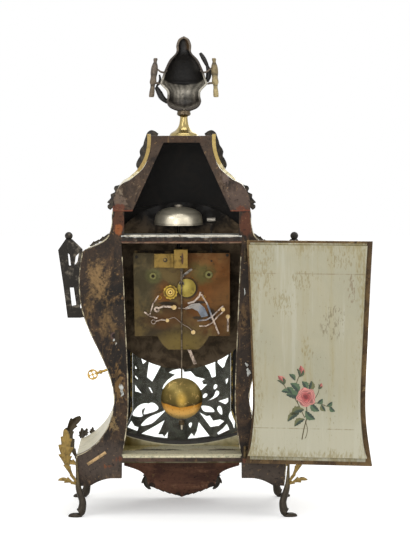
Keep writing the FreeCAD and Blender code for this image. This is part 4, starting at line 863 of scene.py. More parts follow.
@dataclass
class Leaf:
    """A cast leaf: a spine with half widths, toothed edges, a raised midrib and side veins, in millimetres.

    Each spine row holds the distance out from the middle, the height, the half width and the place along Y,
    before the corner's signs are applied.
    """

    spine: Rows
    teeth: float = 6.0
    notch: float = 0.38
    light: Colour = srgb(142, 117, 62)
    dark: Colour = srgb(58, 46, 25)
    rib: float = 0.3
    thick: float = 1.6
    rows: int = 141
    columns: int = 15

    def shell(self, signs: Row, shift: float = 0.0) -> Shell:
        """P(u, v) = S(u) + v w(u) N(u), w = w0 (1 - notch (1 - saw^1.4)), depth lifted by rib w (1 - |v|).

        Args:
            signs: the corner's signs of X and Y.
            shift: extra distance out, in millimetres.

        Returns:
            The leaf.
        """
        line = spline(self.spine, self.rows)
        u, v = np.linspace(0.0, 1.0, self.rows)[:, None], np.linspace(-1.0, 1.0, self.columns)
        away = np.abs(v)
        saw = np.mod(u * self.teeth + 0.12 * np.sign(v), 1.0)
        half = np.maximum(line[:, 2:3], 0.25) * (1.0 - self.notch * (1.0 - saw ** 1.4) * away)
        along = unit(np.gradient(line[:, :2], axis=0))
        out = line[:, :1] + shift - v * half * along[:, 1:]
        up = line[:, 1:2] + v * half * along[:, :1]
        vein = 0.35 * np.sin(2 * np.pi * (u * self.teeth - 0.6 * away)) * away
        deep = line[:, 3:4] + self.rib * half * (1 - away) + vein
        face, back = (np.stack([signs[0] * out, signs[1] * y, up], axis=-1) * MM
                      for y in (deep, deep - self.thick))
        shade = 0.75 * smooth(away, 0.5, 1.0) * (1 - saw) + 0.35 * hump(v, 0.0, 0.08)
        return sheet_shell(face, back, blend(shade, self.light, self.dark))


@dataclass
class Foot:
    """One foot: pad, bent leg, leaf and sprig, in millimetres.

    A leg row holds X, height, radius and Y, and a pad row height and share of the pad's half axes.
    """

    corner: Corner
    shift: float = 0.0
    leg: Rows = (
        (150.8, 5.8, 6.6, 82.0), (147.6, 8.0, 6.6, 81.5), (145.6, 14.4, 5.8, 80.8), (145.2, 21.8, 5.3, 80.0),
        (147.3, 29.2, 5.0, 79.0), (149.8, 36.6, 4.7, 78.0), (151.6, 43.9, 4.1, 77.2),
        (152.4, 51.3, 3.1, 76.8), (153.2, 68.0, 2.0, 76.4), (154.0, 86.0, 1.4, 76.2))
    pad: Rows = ((0.0, 0.93), (0.7, 1.0), (2.6, 0.97), (4.4, 0.8), (5.6, 0.5))
    pad_place: tuple[float, float] = (154.7, 82.0)
    pad_half: tuple[float, float] = (10.4, 6.8)
    pad_bulge: float = 0.12
    stalk: Rows = ((152.1, 46.7, 1.6, 77.5), (159.3, 58.7, 2.7, 80.0), (165.7, 71.6, 4.2, 82.0))
    rear_leaf: Rows = (
        (168.9, 84.6, 8.2, 83.5), (169.5, 97.5, 12.4, 84.0), (169.1, 108.5, 10.4, 84.0),
        (168.7, 119.5, 8.0, 83.5), (170.8, 129.7, 1.4, 82.5))
    front_leaf: Rows = (
        (169.2, 84.0, 6.5, 83.5), (171.5, 96.0, 6.8, 84.0), (170.0, 107.0, 8.0, 84.0),
        (163.0, 117.0, 8.2, 83.0), (154.2, 123.4, 2.6, 82.0))
    sprig: Rows = (
        (152.1, 45.0, 1.4, 77.5), (157.0, 48.6, 2.6, 79.0), (162.1, 51.3, 3.6, 80.5),
        (168.0, 54.0, 5.2, 82.0), (173.5, 55.4, 4.2, 83.0), (181.0, 54.6, 0.7, 83.5))
    colour: Colour = srgb(52, 45, 35)
    # worn: lighter colour of the leg's upper part, a painted highlight
    worn: Colour = srgb(90, 78, 54)

    def leaves(self) -> tuple[Leaf, Leaf]:
        """The tall leaf and the sprig; a front leaf is dark and bends back towards the case.

        Returns:
            Both leaves.
        """
        tall = Leaf((*self.stalk, *self.rear_leaf))
        if self.corner in (Corner.FRONT_LEFT, Corner.FRONT_RIGHT):
            tall = Leaf((*self.stalk, *self.front_leaf), light=srgb(66, 56, 38), dark=srgb(28, 23, 17))
        return tall, Leaf(self.sprig, 3.0, 0.5)

    def build(self, material: Material) -> None:
        """Makes the foot in place of its CAD node; the pad is an oval with one longer end.

        Args:
            material: the cast metal's finish.
        """
        sx, sy = self.corner.value
        x, z, r, y = spline(self.leg, 60).T
        path = np.column_stack([sx * (x + self.shift), sy * y, z]) * MM
        # painted highlight: the leg turns lighter above 30 mm
        tint = blend(smooth(z, 30.0, 60.0), self.colour, self.worn)
        leg = tube(path, np.column_stack([r, r * 0.85]) * MM, tint, 16)
        a, level = angles(32), np.array(self.pad)
        wide, bulge = level[:, 1:], 1.0 + self.pad_bulge * np.cos(a)
        oval = np.stack([
            sx * (self.pad_place[0] + self.shift + self.pad_half[0] * wide * np.cos(a) * bulge),
            sy * (self.pad_place[1] + self.pad_half[1] * wide * np.sin(a)),
            np.broadcast_to(level[:, :1], (len(level), len(a)))], axis=-1)
        sole = ring_shell(oval * MM, even_paint(self.colour, *oval.shape[:2]))
        node = "foot_" + self.corner.name.lower()
        shells = [leg, sole] + [leaf.shell((sx, sy), self.shift) for leaf in self.leaves()]
        piece(node + "_cast", shells, material, [node])


@dataclass
class Finial:
    """The open-backed urn with its posts and branches; profiles hold radius and height in millimetres."""

    axis: float = 3.5
    outer: Rows = (
        (7.0, 590.2), (20.4, 596.0), (25.6, 604.7), (24.4, 613.0), (25.6, 621.0), (34.4, 630.5),
        (34.9, 633.0), (33.0, 638.0), (30.2, 646.5), (26.4, 656.0), (20.8, 667.0), (11.4, 677.5),
        (11.0, 688.0), (7.6, 697.0), (0.4, 701.4))
    inner: Rows = (
        (1.0, 594.0), (16.4, 598.5), (22.2, 605.0), (21.2, 613.0), (22.4, 622.0), (31.0, 630.9),
        (31.6, 633.2), (29.8, 637.8), (27.0, 646.2), (23.2, 655.6), (17.4, 666.0), (8.0, 678.0), (7.6, 688.0),
        (4.8, 695.2), (0.3, 698.0))
    handle: Rows = (
        (0.3, 612.0), (3.6, 612.3), (3.9, 619.0), (3.2, 626.0), (3.6, 630.0), (5.0, 634.0), (4.3, 641.0),
        (5.2, 648.0), (4.9, 656.0), (3.4, 661.0), (2.5, 663.5), (3.1, 667.0), (2.6, 669.0), (0.3, 669.4))
    grooves: Row = (629.0, 645.0, 661.5)
    posts: tuple[tuple[float, float, Colour, Colour], ...] = (
        (-44.5, 0.11, srgb(112, 98, 80), srgb(98, 86, 74)),
        (46.0, -0.055, srgb(176, 158, 112), srgb(134, 118, 84)))
    base: Rows = (
        (0.3, 553.1), (20.3, 553.2), (20.7, 556.4), (18.6, 559.2), (13.6, 562.2), (9.6, 566.0), (7.0, 571.5),
        (5.9, 578.0), (5.8, 582.8), (8.8, 584.6), (10.3, 586.6), (9.8, 589.6), (8.6, 592.2), (0.3, 592.6))
    lean_from: float = 642.0
    upper_arm: Rows = ((24.5, 2, 651.5), (28, 2, 648.6), (34, 1, 649.2), (41, 0, 655))
    lower_arm: Rows = ((35, 2, 631), (39, 1, 632.5), (44, 0, 632))
    branches: tuple[tuple[Rows, float], ...] = (
        (((24, 8, 677), (27.7, 8, 671.5), (31.9, 8, 664), (35.8, 8, 655.5)), 3.4),
        (((35.0, 8, 657), (37.0, 8, 650), (36.5, 8, 642), (34.0, 8, 634)), 4.2),
        (((-41, 8, 627), (-36, 8, 618), (-32, 8, 611), (-24, 8, 604)), 4.6),
        (((-36, 8, 645), (-35, 8, 638), (-37, 8, 632), (-41, 8, 627)), 2.0))
    grey: Colour = srgb(98, 86, 74)
    black: Colour = srgb(20, 18, 16)

    def wall_paint(self, wall: np.ndarray, a: np.ndarray) -> np.ndarray:
        """Streaked pale bowl (painted light, brighter at its foot), black above it (painted shade in the
        hollow) with a painted sheen, brown coat outside, some gold in the knob and a rim pale on the shoulder
        (painted highlight).

        Args:
            wall: rows of radius and height, the outer half first.
            a: angles round the axis.

        Returns:
            Colours (n, m, 3).
        """
        inside = (np.arange(len(wall)) >= len(wall) // 2)[:, None, None]
        rise = wall[:, 1:]
        level = rise + 11.0 * np.sin(a) + 0.4 * np.sin(9 * a) - 4.0
        # painted light: the lower inside is pale, brighter near its foot
        bowl = blend(smooth(level, 606.0, 624.0), srgb(66, 58, 50), srgb(178, 171, 156))
        bowl = bowl + hump(level, 600.0, 4.0)[..., None] * np.array([0.3, 0.275, 0.225])
        bowl = bowl * (0.75 + 0.25 * np.sin(17 * a + 2 * np.sin(3 * a)))[:, None]
        smear = (0.5 + 0.5 * np.sin(5 * a + 1.0)) * smooth(level, 600.0, 612.0) * smooth(level, 630.0, 618.0)
        bowl = bowl * (1 - 0.7 * smear[..., None])
        # painted shade: the hollow turns black above the bowl
        black = smooth(level, 635.0, 638.0)[..., None]
        hollow = bowl * (1 - black) + black * np.array(srgb(15, 13, 12))
        # painted sheen inside the upper hollow
        sheen = hump(a, 0.55, 0.3) * smooth(rise, 646.0, 656.0) * smooth(rise, 674.0, 664.0)
        hollow = hollow + sheen[..., None] * np.array([0.05, 0.046, 0.04])
        coat = blend(smooth(rise, 600.0, 640.0), srgb(128, 116, 98), srgb(46, 40, 34))
        gold = 0.8 * smooth(rise, 680.0, 684.0)[..., None] * inside * hump(a, 0.2, 0.7)[:, None]
        paint = np.where(inside, hollow, coat) * (1 - gold) + gold * np.array(srgb(112, 84, 50))
        # painted highlight: the cut edges are pale on the shoulder
        shoulder = smooth(rise, 604.0, 624.0) * smooth(rise, 650.0, 636.0)
        rim = blend(shoulder, srgb(58, 50, 42), srgb(176, 170, 156))
        paint[:, [0, -1]] = np.where((rise > 680.0)[..., None], srgb(104, 92, 78), rim)
        return paint

    def urn(self) -> Shell:
        """Half of a turned shell: P(t, a) = (r cos a, r sin a, z), a from 0 to pi, over a closed section.

        Returns:
            The urn's wall.
        """
        wall = np.vstack([spline(self.outer, 121), spline(self.inner, 121)[::-1]])
        a = np.linspace(0.0, np.pi, 49)
        r, z = wall[:, :1], np.broadcast_to(wall[:, 1:], (len(wall), len(a)))
        grid = np.stack([self.axis + r * np.cos(a), r * np.sin(a), z], axis=-1) * MM
        ids = np.arange(z.size).reshape(z.shape)
        after = np.roll(ids, -1, axis=0)
        skin = np.stack([ids[:, :-1], ids[:, 1:], after[:, 1:], after[:, :-1]], axis=-1).reshape(-1, 4)
        half, k = len(wall) // 2, np.arange(len(wall) // 2 - 1)
        rows = (k, k + 1, 2 * half - 2 - k, 2 * half - 1 - k)
        first, last = (np.stack([ids[row, column] for row in rows], axis=-1) for column in (0, -1))
        quads = np.vstack([skin, first, last[:, ::-1]])
        return Shell(grid.reshape(-1, 3), quads, NO_FANS, self.wall_paint(wall, a).reshape(-1, 3)).outward()

    def arm(self, knots: Rows, wide: float, colour: Colour, side: float = 1.0) -> Shell:
        """Round bar along knots, thinner at its ends: r = wide (0.6 + 0.4 sin pi t).

        Args:
            knots: points in millimetres, measured from the urn's axis.
            wide: largest radius in millimetres.
            colour: its colour.
            side: sign of X.

        Returns:
            The bar.
        """
        path = spline(knots, 40) * np.array([side, 1.0, 1.0]) + np.array([self.axis, 0.0, 0.0])
        r = wide * (0.6 + 0.4 * np.sin(np.pi * np.linspace(0, 1, 40)))
        return tube(path * MM, np.column_stack([r, r * 0.8]) * MM, even_paint(colour, 40), 10)

    def post(self, x: float, lean: float, low: Colour, high: Colour) -> Shell:
        """Turned handle, leaning by x + lean (z - lean_from), with dark grooves.

        Args:
            x: its distance from the urn's axis, in millimetres.
            lean: its slope.
            low: colour of its foot.
            high: colour of its top.

        Returns:
            The post.
        """
        profile = spline(self.handle, 70)
        profile[:, 0] = np.maximum(profile[:, 0], 0.2)
        grooves = hump(profile[:, 1:], np.array(self.grooves), 1.4).sum(axis=1)
        tint = blend(smooth(profile[:, 1], 628.0, 650.0), low, high) * (1 - 0.6 * grooves)[:, None]
        slant = np.array([[1.0, 0.0, lean], [0.0, 1.0, 0.0], [0.0, 0.0, 1.0]])
        upright = lathe(profile, (x + self.axis, 0.0), tint, 20)
        return upright.moved(slant, (-lean * self.lean_from * MM, 0.0, 0.0))

    def build(self, material: Material) -> None:
        """Makes the urn and its turned base in place of their CAD nodes.

        Args:
            material: the cast metal's finish.
        """
        shells = [self.urn()]
        for row in self.posts:
            side = math.copysign(1.0, row[0])
            shells += [self.post(*row), self.arm(self.upper_arm, 1.5, self.grey, side),
                       self.arm(self.lower_arm, 1.7, self.grey, side)]
        shells += [self.arm(knots, wide, self.black) for knots, wide in self.branches]
        piece("urn_cast", shells, material, ["finial_urn"])
        turned = spline(self.base, 120)
        tint = blend(smooth(turned[:, 1], 583.5, 585.5), srgb(166, 148, 98), srgb(96, 84, 66))
        brass = Painted("base_brass", 0.24, 0.9, 60.0, 0.25, 0.00003).material()
        piece("base_turned", [lathe(turned, (self.axis, 0.0), tint, 64)], brass, ["finial_base"])


@dataclass
class DoorArt:
    """A painted spray of one bloom, buds and leaves on the door's inner face, with two border strips.

    Places are closed-door X and height in millimetres, for the spray from its bloom; the door's rest place is
    a turn about its hinge.
    """

    hinge: tuple[float, float] = (92.5, -82.4)
    turn: float = 171.0
    face: float = -67.4
    bloom: tuple[float, float] = (1.5, 180.0)
    bloom_size: float = 13.6
    borders: Rows = ((86.0, 92.6), (399.4, 402.8))
    border_halves: tuple[float, float] = (84.0, 84.4)
    lip_lift: float = -7.92
    stem_lift: float = 0.12
    stems: tuple[tuple[float, Rows], ...] = (
        (0.8, ((0, -6), (-1, -28), (3, -46), (6, -62))), (0.6, ((2, -30), (14, -6), (26, 8), (35, 21))),
        (0.6, ((12, -10), (15, 12), (13, 24), (9, 33))), (0.5, ((-3, -8), (-12, -2), (-17, 6), (-19, 14))),
        (0.5, ((-6, -10), (-18, -8), (-28, -12), (-38, -14))),
        (0.5, ((1, -34), (-2, -46), (-1, -54), (1, -60))))
    leaves: Rows = (
        (8, -2, 29, 3, 6.0), (10, 6, 23, 20, 5.0), (3, -18, 22, -26, 5.6), (1, -20, -13, -32, 5.0),
        (-7, -8, -19, -20, 4.6), (-4, 10, -8, 24, 4.4), (24, 6, 36, 8, 3.4), (16, 24, 25, 33, 3.2),
        (2, -32, 17, -43, 4.4), (-1, 11, 6, 23, 4.2), (-16, -9, -24, -2, 3.2), (-22, -10, -28, -20, 3.4),
        (-30, -12, -38, -6, 2.8), (-34, -13, -42, -20, 3.0), (10, -24, 27, -36, 4.6), (20, 4, 28, 14, 4.0))
    buds: Rows = ((37, 24, 58, 7.6), (9, 38, 96, 8.0), (-20, 17, 118, 4.6))

    def placed(self, flat: np.ndarray, lift: float) -> np.ndarray:
        """Carries door points to the rest pose: a turn of (x, y) about the hinge.

        Args:
            flat: array (..., 2) of X and height.
            lift: distance off the face, in millimetres.

        Returns:
            Points (..., 3) in metres.
        """
        c, s = heading(self.turn)
        dx, dy = flat[..., 0] - self.hinge[0], self.face + lift - self.hinge[1]
        x, y = self.hinge[0] + dx * c - dy * s, self.hinge[1] + dx * s + dy * c
        return np.stack([x, y, flat[..., 1]], axis=-1) * MM

    def coat(self, flat: np.ndarray, paint: np.ndarray, lift: float) -> Shell:
        """Thin coat of paint on a grid of places round the bloom, from just below the face up to lift."""
        spot = flat + np.array(self.bloom)
        return sheet_shell(self.placed(spot, lift), self.placed(spot, -0.02), paint)

    def leaf(self, root: Row, tip: Row, wide: float, lift: float, light: Colour, dark: Colour) -> Shell:
        """Pointed leaf: half width wide sin(pi u)^0.8 (1 + 0.1 sin 9 pi u), pale rib, darker half.

        Args:
            root: X and height of its root.
            tip: X and height of its tip.
            wide: half width.
            lift: height of the coat.
            light: colour of the light half.
            dark: colour of the dark half.

        Returns:
            The leaf.
        """
        a, run = np.asarray(root, float), np.asarray(tip, float) - np.asarray(root, float)
        u, v = np.linspace(0, 1, 33)[:, None], np.linspace(-1, 1, 13)[None, :]
        length = np.linalg.norm(run)
        half = wide * np.sin(np.pi * np.clip(u, 0.004, 0.996)) ** 0.8 * (1 + 0.1 * np.sin(9 * np.pi * u))
        aside = v * half + 0.16 * length * np.sin(np.pi * u)
        flat = a + u[..., None] * run + aside[..., None] * np.array([-run[1], run[0]]) / length
        shade = 0.5 + 0.5 * np.tanh(6 * v) + 0.25 * np.sin(22 * u + 5 * np.abs(v)) * np.abs(v)
        rib = 0.5 * hump(v, 0.0, 0.12)[..., None] * np.array([0.05, 0.07, 0.03])
        return self.coat(flat, blend(shade, dark, light) + rib, lift)

    def stem(self, knots: Rows, wide: float, colour: Colour) -> Shell:
        """Thin brushed line along knots.

        Args:
            knots: X and height of each.
            wide: half width.
            colour: its colour.

        Returns:
            The stem.
        """
        line = spline(knots, 40)
        along = unit(np.gradient(line, axis=0))
        side = np.column_stack([-along[:, 1], along[:, 0]])
        flat = line[:, None] + np.linspace(-1, 1, 3)[None, :, None] * wide * side[:, None]
        return self.coat(flat, even_paint(colour, *flat.shape[:2]), self.stem_lift)

    def rosette(self, size: float, lift: float) -> Shell:
        """Bloom: R(a) = size (1 + 0.06 cos 5a + 0.03 cos 8a); 4.4 r + waves in a counts its rows of petals.

        Args:
            size: radius.
            lift: height of the coat.

        Returns:
            The bloom.
        """
        a, r = np.linspace(0, 2 * np.pi, 145)[None, :], np.linspace(0.01, 1.0, 60)[:, None]
        edge = size * r * (1 + 0.06 * np.cos(5 * a + 0.4) + 0.03 * np.cos(8 * a + 1.0))
        flat = np.stack([edge * np.cos(a), edge * np.sin(a)], axis=-1)
        row = np.mod(4.4 * r + 0.42 * np.sin(3 * a + 6 * r) + 0.2 * np.sin(5 * a - 9 * r), 1.0)
        light = blend(smooth(r, 0.1, 0.95), srgb(178, 60, 62), srgb(214, 142, 132))
        shade = (0.36 + 0.64 * smooth(row, 0.0, 0.7)) * (0.45 + 0.55 * smooth(r, 0.08, 0.4))
        return self.coat(flat, light * shade[..., None], lift)

    def bud(self, centre: Row, aim: float, size: float) -> list[Shell]:
        """Closed bud with two green sepals.

        Args:
            centre: X and height.
            aim: direction of its tip in degrees.
            size: half length.

        Returns:
            Its coats.
        """
        c, d = np.asarray(centre, float), np.array(heading(aim)) * size
        aside = np.array([-d[1], d[0]]) * 0.6
        green, deep = srgb(78, 84, 50), srgb(40, 50, 34)
        pink = self.leaf(c - d, c + d, size * 0.55, 0.3, srgb(196, 116, 106), srgb(132, 62, 58))
        return [pink] + [self.leaf(c - 1.1 * d, c + 0.35 * d + k * aside, size * 0.26, 0.36, green, deep)
                         for k in (-1, 1)]

    def build(self) -> None:
        """Paints the borders and the spray."""
        for low, high in self.borders:
            flat = np.array([[(-x, z), (x, z)] for z, x in zip((low, high), self.border_halves)])
            strip = sheet_shell(self.placed(flat, self.lip_lift), self.placed(flat, self.lip_lift - 0.4),
                                even_paint(Tone.DOOR.value, 2, 2))
            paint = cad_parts["rear_door_panel"].data.materials[0]
            piece("door_border_%d" % low, [strip], paint, body=Body.REAR_DOOR)
        light, olive, dark, stalk = srgb(76, 98, 68), srgb(100, 100, 60), srgb(32, 50, 38), srgb(92, 84, 56)
        shells = [self.stem(knots, wide, stalk) for wide, knots in self.stems]
        for k, (*ends, wide) in enumerate(self.leaves):
            tone = olive if k % 3 == 2 else light
            shells.append(self.leaf(ends[:2], ends[2:], wide, 0.16 + 0.02 * (k % 4), tone, dark))
        shells.append(self.rosette(self.bloom_size, 0.32))
        for x, z, aim, size in self.buds:
            shells += self.bud((x, z), aim, size)
        paint = Painted("spray_paint", 0.55, 0.0, 260.0, 0.12, 0.0001).material()
        piece("door_spray", shells, paint, body=Body.REAR_DOOR)


@dataclass
class EdgeWear:
    """Pale worn edges along the rear outline and the doorway, followed from the CAD boards' own corners."""

    rear: float = -0.075
    outline_from: float = 0.094
    skirt_top: float = 0.0885
    skirt_from: float = 0.1485
    doorway_to: float = 0.0885
    doorway_zs: tuple[float, float] = (0.092, 0.4)
    radius: float = 0.9
    proud: float = 0.00028
    line_depth: float = -0.0752

    def path(self, node: str, outer: bool) -> np.ndarray:
        """Corner points of a stile's rear face, sorted by height and sampled evenly.

        Args:
            node: the stile.
            outer: the outline if true, the doorway edge if not.

        Returns:
            Points (n, 3).
        """
        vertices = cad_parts[node].data.vertices
        co = np.empty(len(vertices) * 3, np.float32)
        vertices.foreach_get("co", co)
        corners = co.reshape(-1, 3).astype(float)
        flat = corners[np.abs(corners[:, 1] - self.rear) < 1e-4]
        out, height = np.abs(flat[:, 0]), flat[:, 2]
        low, high = self.doorway_zs
        keep = (out < self.doorway_to) & (height > low) & (height < high)
        if outer:
            keep = out > np.where(height < self.skirt_top, self.skirt_from, self.outline_from)
        run = flat[keep]
        run = run[np.argsort(run[:, 2])]
        z = np.linspace(run[0, 2], run[-1, 2], 240)
        return np.column_stack([np.interp(z, run[:, 2], run[:, 0]), np.full_like(z, self.rear), z])

    def strip(self, path: np.ndarray, r: np.ndarray, flat: float) -> Shell:
        """Cream tube along a path with radii r in millimetres, flattened by a share across the board."""
        radii = np.column_stack([r, r * flat]) * MM
        return tube(path, radii, even_paint(Tone.CREAM.value, len(path)), 8)

    def line(self, half: float, z: float, wide: float) -> Shell:
        """Uneven level strip across the rear face: r = wide (0.8 + 0.25 sin 170 x sin 61 x)."""
        path = np.linspace((-half, self.line_depth, z), (half, self.line_depth, z), 160)
        return self.strip(path, wide * (0.8 + 0.25 * np.sin(path[:, 0] * 170) * np.sin(path[:, 0] * 61)), 0.6)

    def flush(self, shell: Shell) -> Shell:
        """Flattens a strip to y >= rear - proud, so that the closed door clears it.

        Args:
            shell: the strip.

        Returns:
            The flattened strip.
        """
        points = shell.points.copy()
        points[:, 1] = np.maximum(points[:, 1], self.rear - self.proud)
        return Shell(points, shell.quads, shell.fans, shell.paint)

    def build(self) -> None:
        """Makes one strip along each edge: r = radius (0.75 + 0.35 sin 310 z sin 97 z) on the stiles."""
        worn = WornEdge("edge_wear").material()
        pale = WornEdge("edge_pale", srgb(214, 208, 192), srgb(120, 104, 84), 0.62).material()
        brown = WornEdge("edge_brown", srgb(134, 104, 80), srgb(58, 40, 30), 0.55).material()
        piece("edge_shelf_top", [self.line(0.0835, 0.4115, 1.7)], pale)
        piece("edge_shelf_low", [self.flush(self.line(0.087, 0.4014, 0.9))], brown)
        for side in ("left", "right"):
            for outer, name in ((True, "edge_outline_"), (False, "edge_doorway_")):
                path = self.path("rear_stile_" + side, outer)
                wave = np.sin(path[:, 2] * 310) * np.sin(path[:, 2] * 97)
                shell = self.strip(path, self.radius * (0.75 + 0.35 * wave), 0.7)
                piece(name + side, [shell if outer else self.flush(shell)], worn)


@dataclass
class BackTrim:
    """Small things on the rear face: the pale strip on the bottom rail, a blank strip and paint flakes.

    A flake's row holds X and height of its middle, half length, half width (millimetres), turn in degrees,
    phase of its raggedness and colour. The strips' corners are in metres, the blank one's before its turn.
    """

    levels: tuple[float, float] = (-74.9, -75.28)
    flakes: tuple[tuple[Any, ...], ...] = (
        (-88.2, 188, 2.6, 7.0, 8, 0.4, Tone.CHALK.value), (-86.6, 180, 1.6, 3.4, -20, 1.3, Tone.CHALK.value),
        (-97.2, 259.6, 3.4, 1.5, 8, 2.2, Tone.CHALK.value),
        (-95.6, 254.4, 1.1, 2.0, -20, 0.9, srgb(190, 184, 170)),
        (97.5, 212, 2.8, 5.2, 10, 1.9, Tone.CHALK.value), (95.0, 223, 1.6, 3.0, 40, 2.9, Tone.CHALK.value),
        (92.0, 330, 0.9, 4.6, 4, 2.0, Tone.CHALK.value), (99.0, 380, 1.0, 2.2, 0, 3.0, Tone.CHALK.value))
    rail: tuple[Row, Row] = ((-0.0862, -0.07528, 0.0857), (0.0862, -0.0748, 0.0888))
    blank: tuple[Row, Row] = ((-0.016, -0.0756, -0.0022), (0.016, -0.0749, 0.0022))
    blank_place: Row = (-0.1245, 0.0, 0.0851)
    blank_turn: float = 33.3

    def flake(self, x: float, z: float, a: float, b: float, turn: float, phase: float,
              colour: Colour) -> Shell:
        """Ragged flake: R(t) = 1 + 0.25 sin(3t + s) + 0.15 sin(7t + 2s), on the rear face.

        Args:
            x: middle along X, in millimetres.
            z: middle height.
            a: half length.
            b: half width.
            turn: turn in degrees.
            phase: phase s of the raggedness.
            colour: its colour.

        Returns:
            The flake.
        """
        t = angles(40)
        r = 1 + 0.25 * np.sin(3 * t + phase) + 0.15 * np.sin(7 * t + 2 * phase)
        c, s = heading(turn)
        px, pz = a * r * np.cos(t), b * r * np.sin(t)
        rings = np.stack([np.stack([x + px * c - pz * s, np.full_like(t, y), z + px * s + pz * c], axis=-1)
                          for y in self.levels])
        return ring_shell(rings * MM, even_paint(colour, *rings.shape[:2]))

    def build(self) -> None:
        """Makes the trim."""
        material = Painted("trim_paint", 0.7, 0.0, 160.0, 0.3).material()
        pale = block(*self.rail, srgb(218, 211, 178))
        c, s = heading(self.blank_turn)
        turn = np.array([[c, 0, -s], [0, 1, 0], [s, 0, c]])
        blank = block(*self.blank, srgb(206, 170, 120)).moved(turn, self.blank_place)
        piece("rail_strip", [pale], material)
        piece("blank_strip", [blank], material)
        piece("paint_flakes", [self.flake(*row) for row in self.flakes], material)


@dataclass
class FrontMounts:
    """Cast leaves on the front corners above the flare, along the shoulder, on the apron and along the hood.

    A leaf holds its spine, teeth and notch; the hood's scroll lies between two lines of X and height, all in
    millimetres.
    """

    light: Colour = srgb(62, 54, 42)
    dark: Colour = srgb(24, 20, 16)
    leaves: tuple[tuple[Rows, float, float], ...] = (
        (((152.5, 92, 4.0, 74.5), (152.4, 99, 6.2, 75.5), (152.2, 107.5, 1.4, 76.0)), 3.0, 0.42),
        (((147.5, 96, 3.4, 74.5), (146.5, 101, 5.0, 75.5), (144.5, 107.0, 1.2, 76.0)), 3.0, 0.42),
        (((138.0, 99, 4.4, 74.5), (136.5, 103.5, 4.8, 75.5), (135.8, 109.0, 0.8, 76.0)), 3.0, 0.42),
        (((138.5, 386.0, 2.2, 75.5), (132.0, 390.5, 3.4, 76.0), (125.5, 393.6, 2.6, 76.0),
          (118.0, 397.6, 3.6, 76.0), (110.0, 404.5, 1.2, 75.5)), 4.0, 0.45),
        (((50.5, 39.0, 2.2, 75.6), (55.6, 31.0, 5.4, 77.0), (55.4, 22.0, 6.0, 77.4), (48.0, 12.6, 1.5, 76.6)),
         3.0, 0.5),
        (((44.0, 17.0, 1.2, 75.6), (33.0, 13.6, 3.0, 76.4), (20.0, 9.2, 3.2, 76.6), (9.0, 6.2, 2.8, 76.6),
          (0.0, 4.6, 2.8, 76.6)), 5.0, 0.4))
    outer: Rows = (
        (34.5, 556.0), (40.0, 560.0), (46.0, 561.5), (51.5, 558.0), (54.0, 552.0), (56.5, 545.0),
        (58.0, 539.0), (61.5, 534.0), (63.4, 529.0), (62.6, 523.0), (65.5, 518.0), (68.2, 512.0),
        (68.4, 507.0), (66.5, 503.0), (68.0, 498.5), (78.0, 489.0), (88.0, 482.5), (95.0, 478.5),
        (100.5, 477.0), (102.3, 473.0), (100.6, 468.6), (103.5, 466.5), (107.2, 464.4), (107.0, 459.5),
        (109.2, 456.5), (112.6, 452.3), (109.4, 450.2), (112.0, 447.5), (111.5, 443.5), (108.0, 440.8))
    inner: Rows = (
        (36.0, 554.0), (37.5, 543.0), (40.5, 528.0), (45.0, 512.0), (54.0, 499.0), (64.0, 489.0),
        (76.0, 481.0), (86.0, 472.0), (91.0, 462.0), (94.0, 452.0), (102.5, 446.0), (106.5, 441.6))
    scroll_back: float = 75.05
    stations: int = 281

    def even(self, knots: Rows) -> np.ndarray:
        """Points at equal steps along a curve.

        Args:
            knots: the curve's knots.

        Returns:
            The points.
        """
        line = spline(knots, 1200)
        length = np.concatenate([[0.0], np.cumsum(np.linalg.norm(np.diff(line, axis=0), axis=1))])
        steps = np.linspace(0.0, length[-1], self.stations)
        return np.column_stack([np.interp(steps, length, line[:, k]) for k in range(2)])

    def scroll(self, sign: float) -> Shell:
        """P(u, v) = inner(u) + v (outer(u) - inner(u)), with y = 77.2 + 2.4 sin(pi v) + 0.4 v sin(90 u).

        Args:
            sign: side of X.

        Returns:
            The hood's scroll.
        """
        out, low = self.even(self.outer), self.even(self.inner)
        u, v = np.linspace(0, 1, self.stations)[:, None], np.linspace(0, 1, 13)[None, :]
        flat = low[:, None] + v[..., None] * (out - low)[:, None]
        lobes = v * np.sin(90 * u)
        front = 77.2 + 2.4 * np.sin(np.pi * v) + 0.4 * lobes
        face, back = (np.stack([sign * flat[..., 0], y, flat[..., 1]], axis=-1) * MM
                      for y in (front, np.full_like(front, self.scroll_back)))
        shade = 0.5 + 0.5 * lobes + 0.3 * np.cos(2 * np.pi * v)
        return sheet_shell(face, back, blend(shade, self.light, self.dark))

    def build(self, material: Material) -> None:
        """Makes the mounts.

        Args:
            material: the cast metal's finish.
        """
        leaves = [Leaf(spine, teeth, notch, self.light, self.dark) for spine, teeth, notch in self.leaves]
        for sign, side in ((-1.0, "left"), (1.0, "right")):
            shells = [leaf.shell((sign, 1.0)) for leaf in leaves]
            piece("front_leaves_" + side, shells, material)
        piece("hood_scrolls", [self.scroll(-1.0), self.scroll(1.0)], material, ["hood_mounts"])


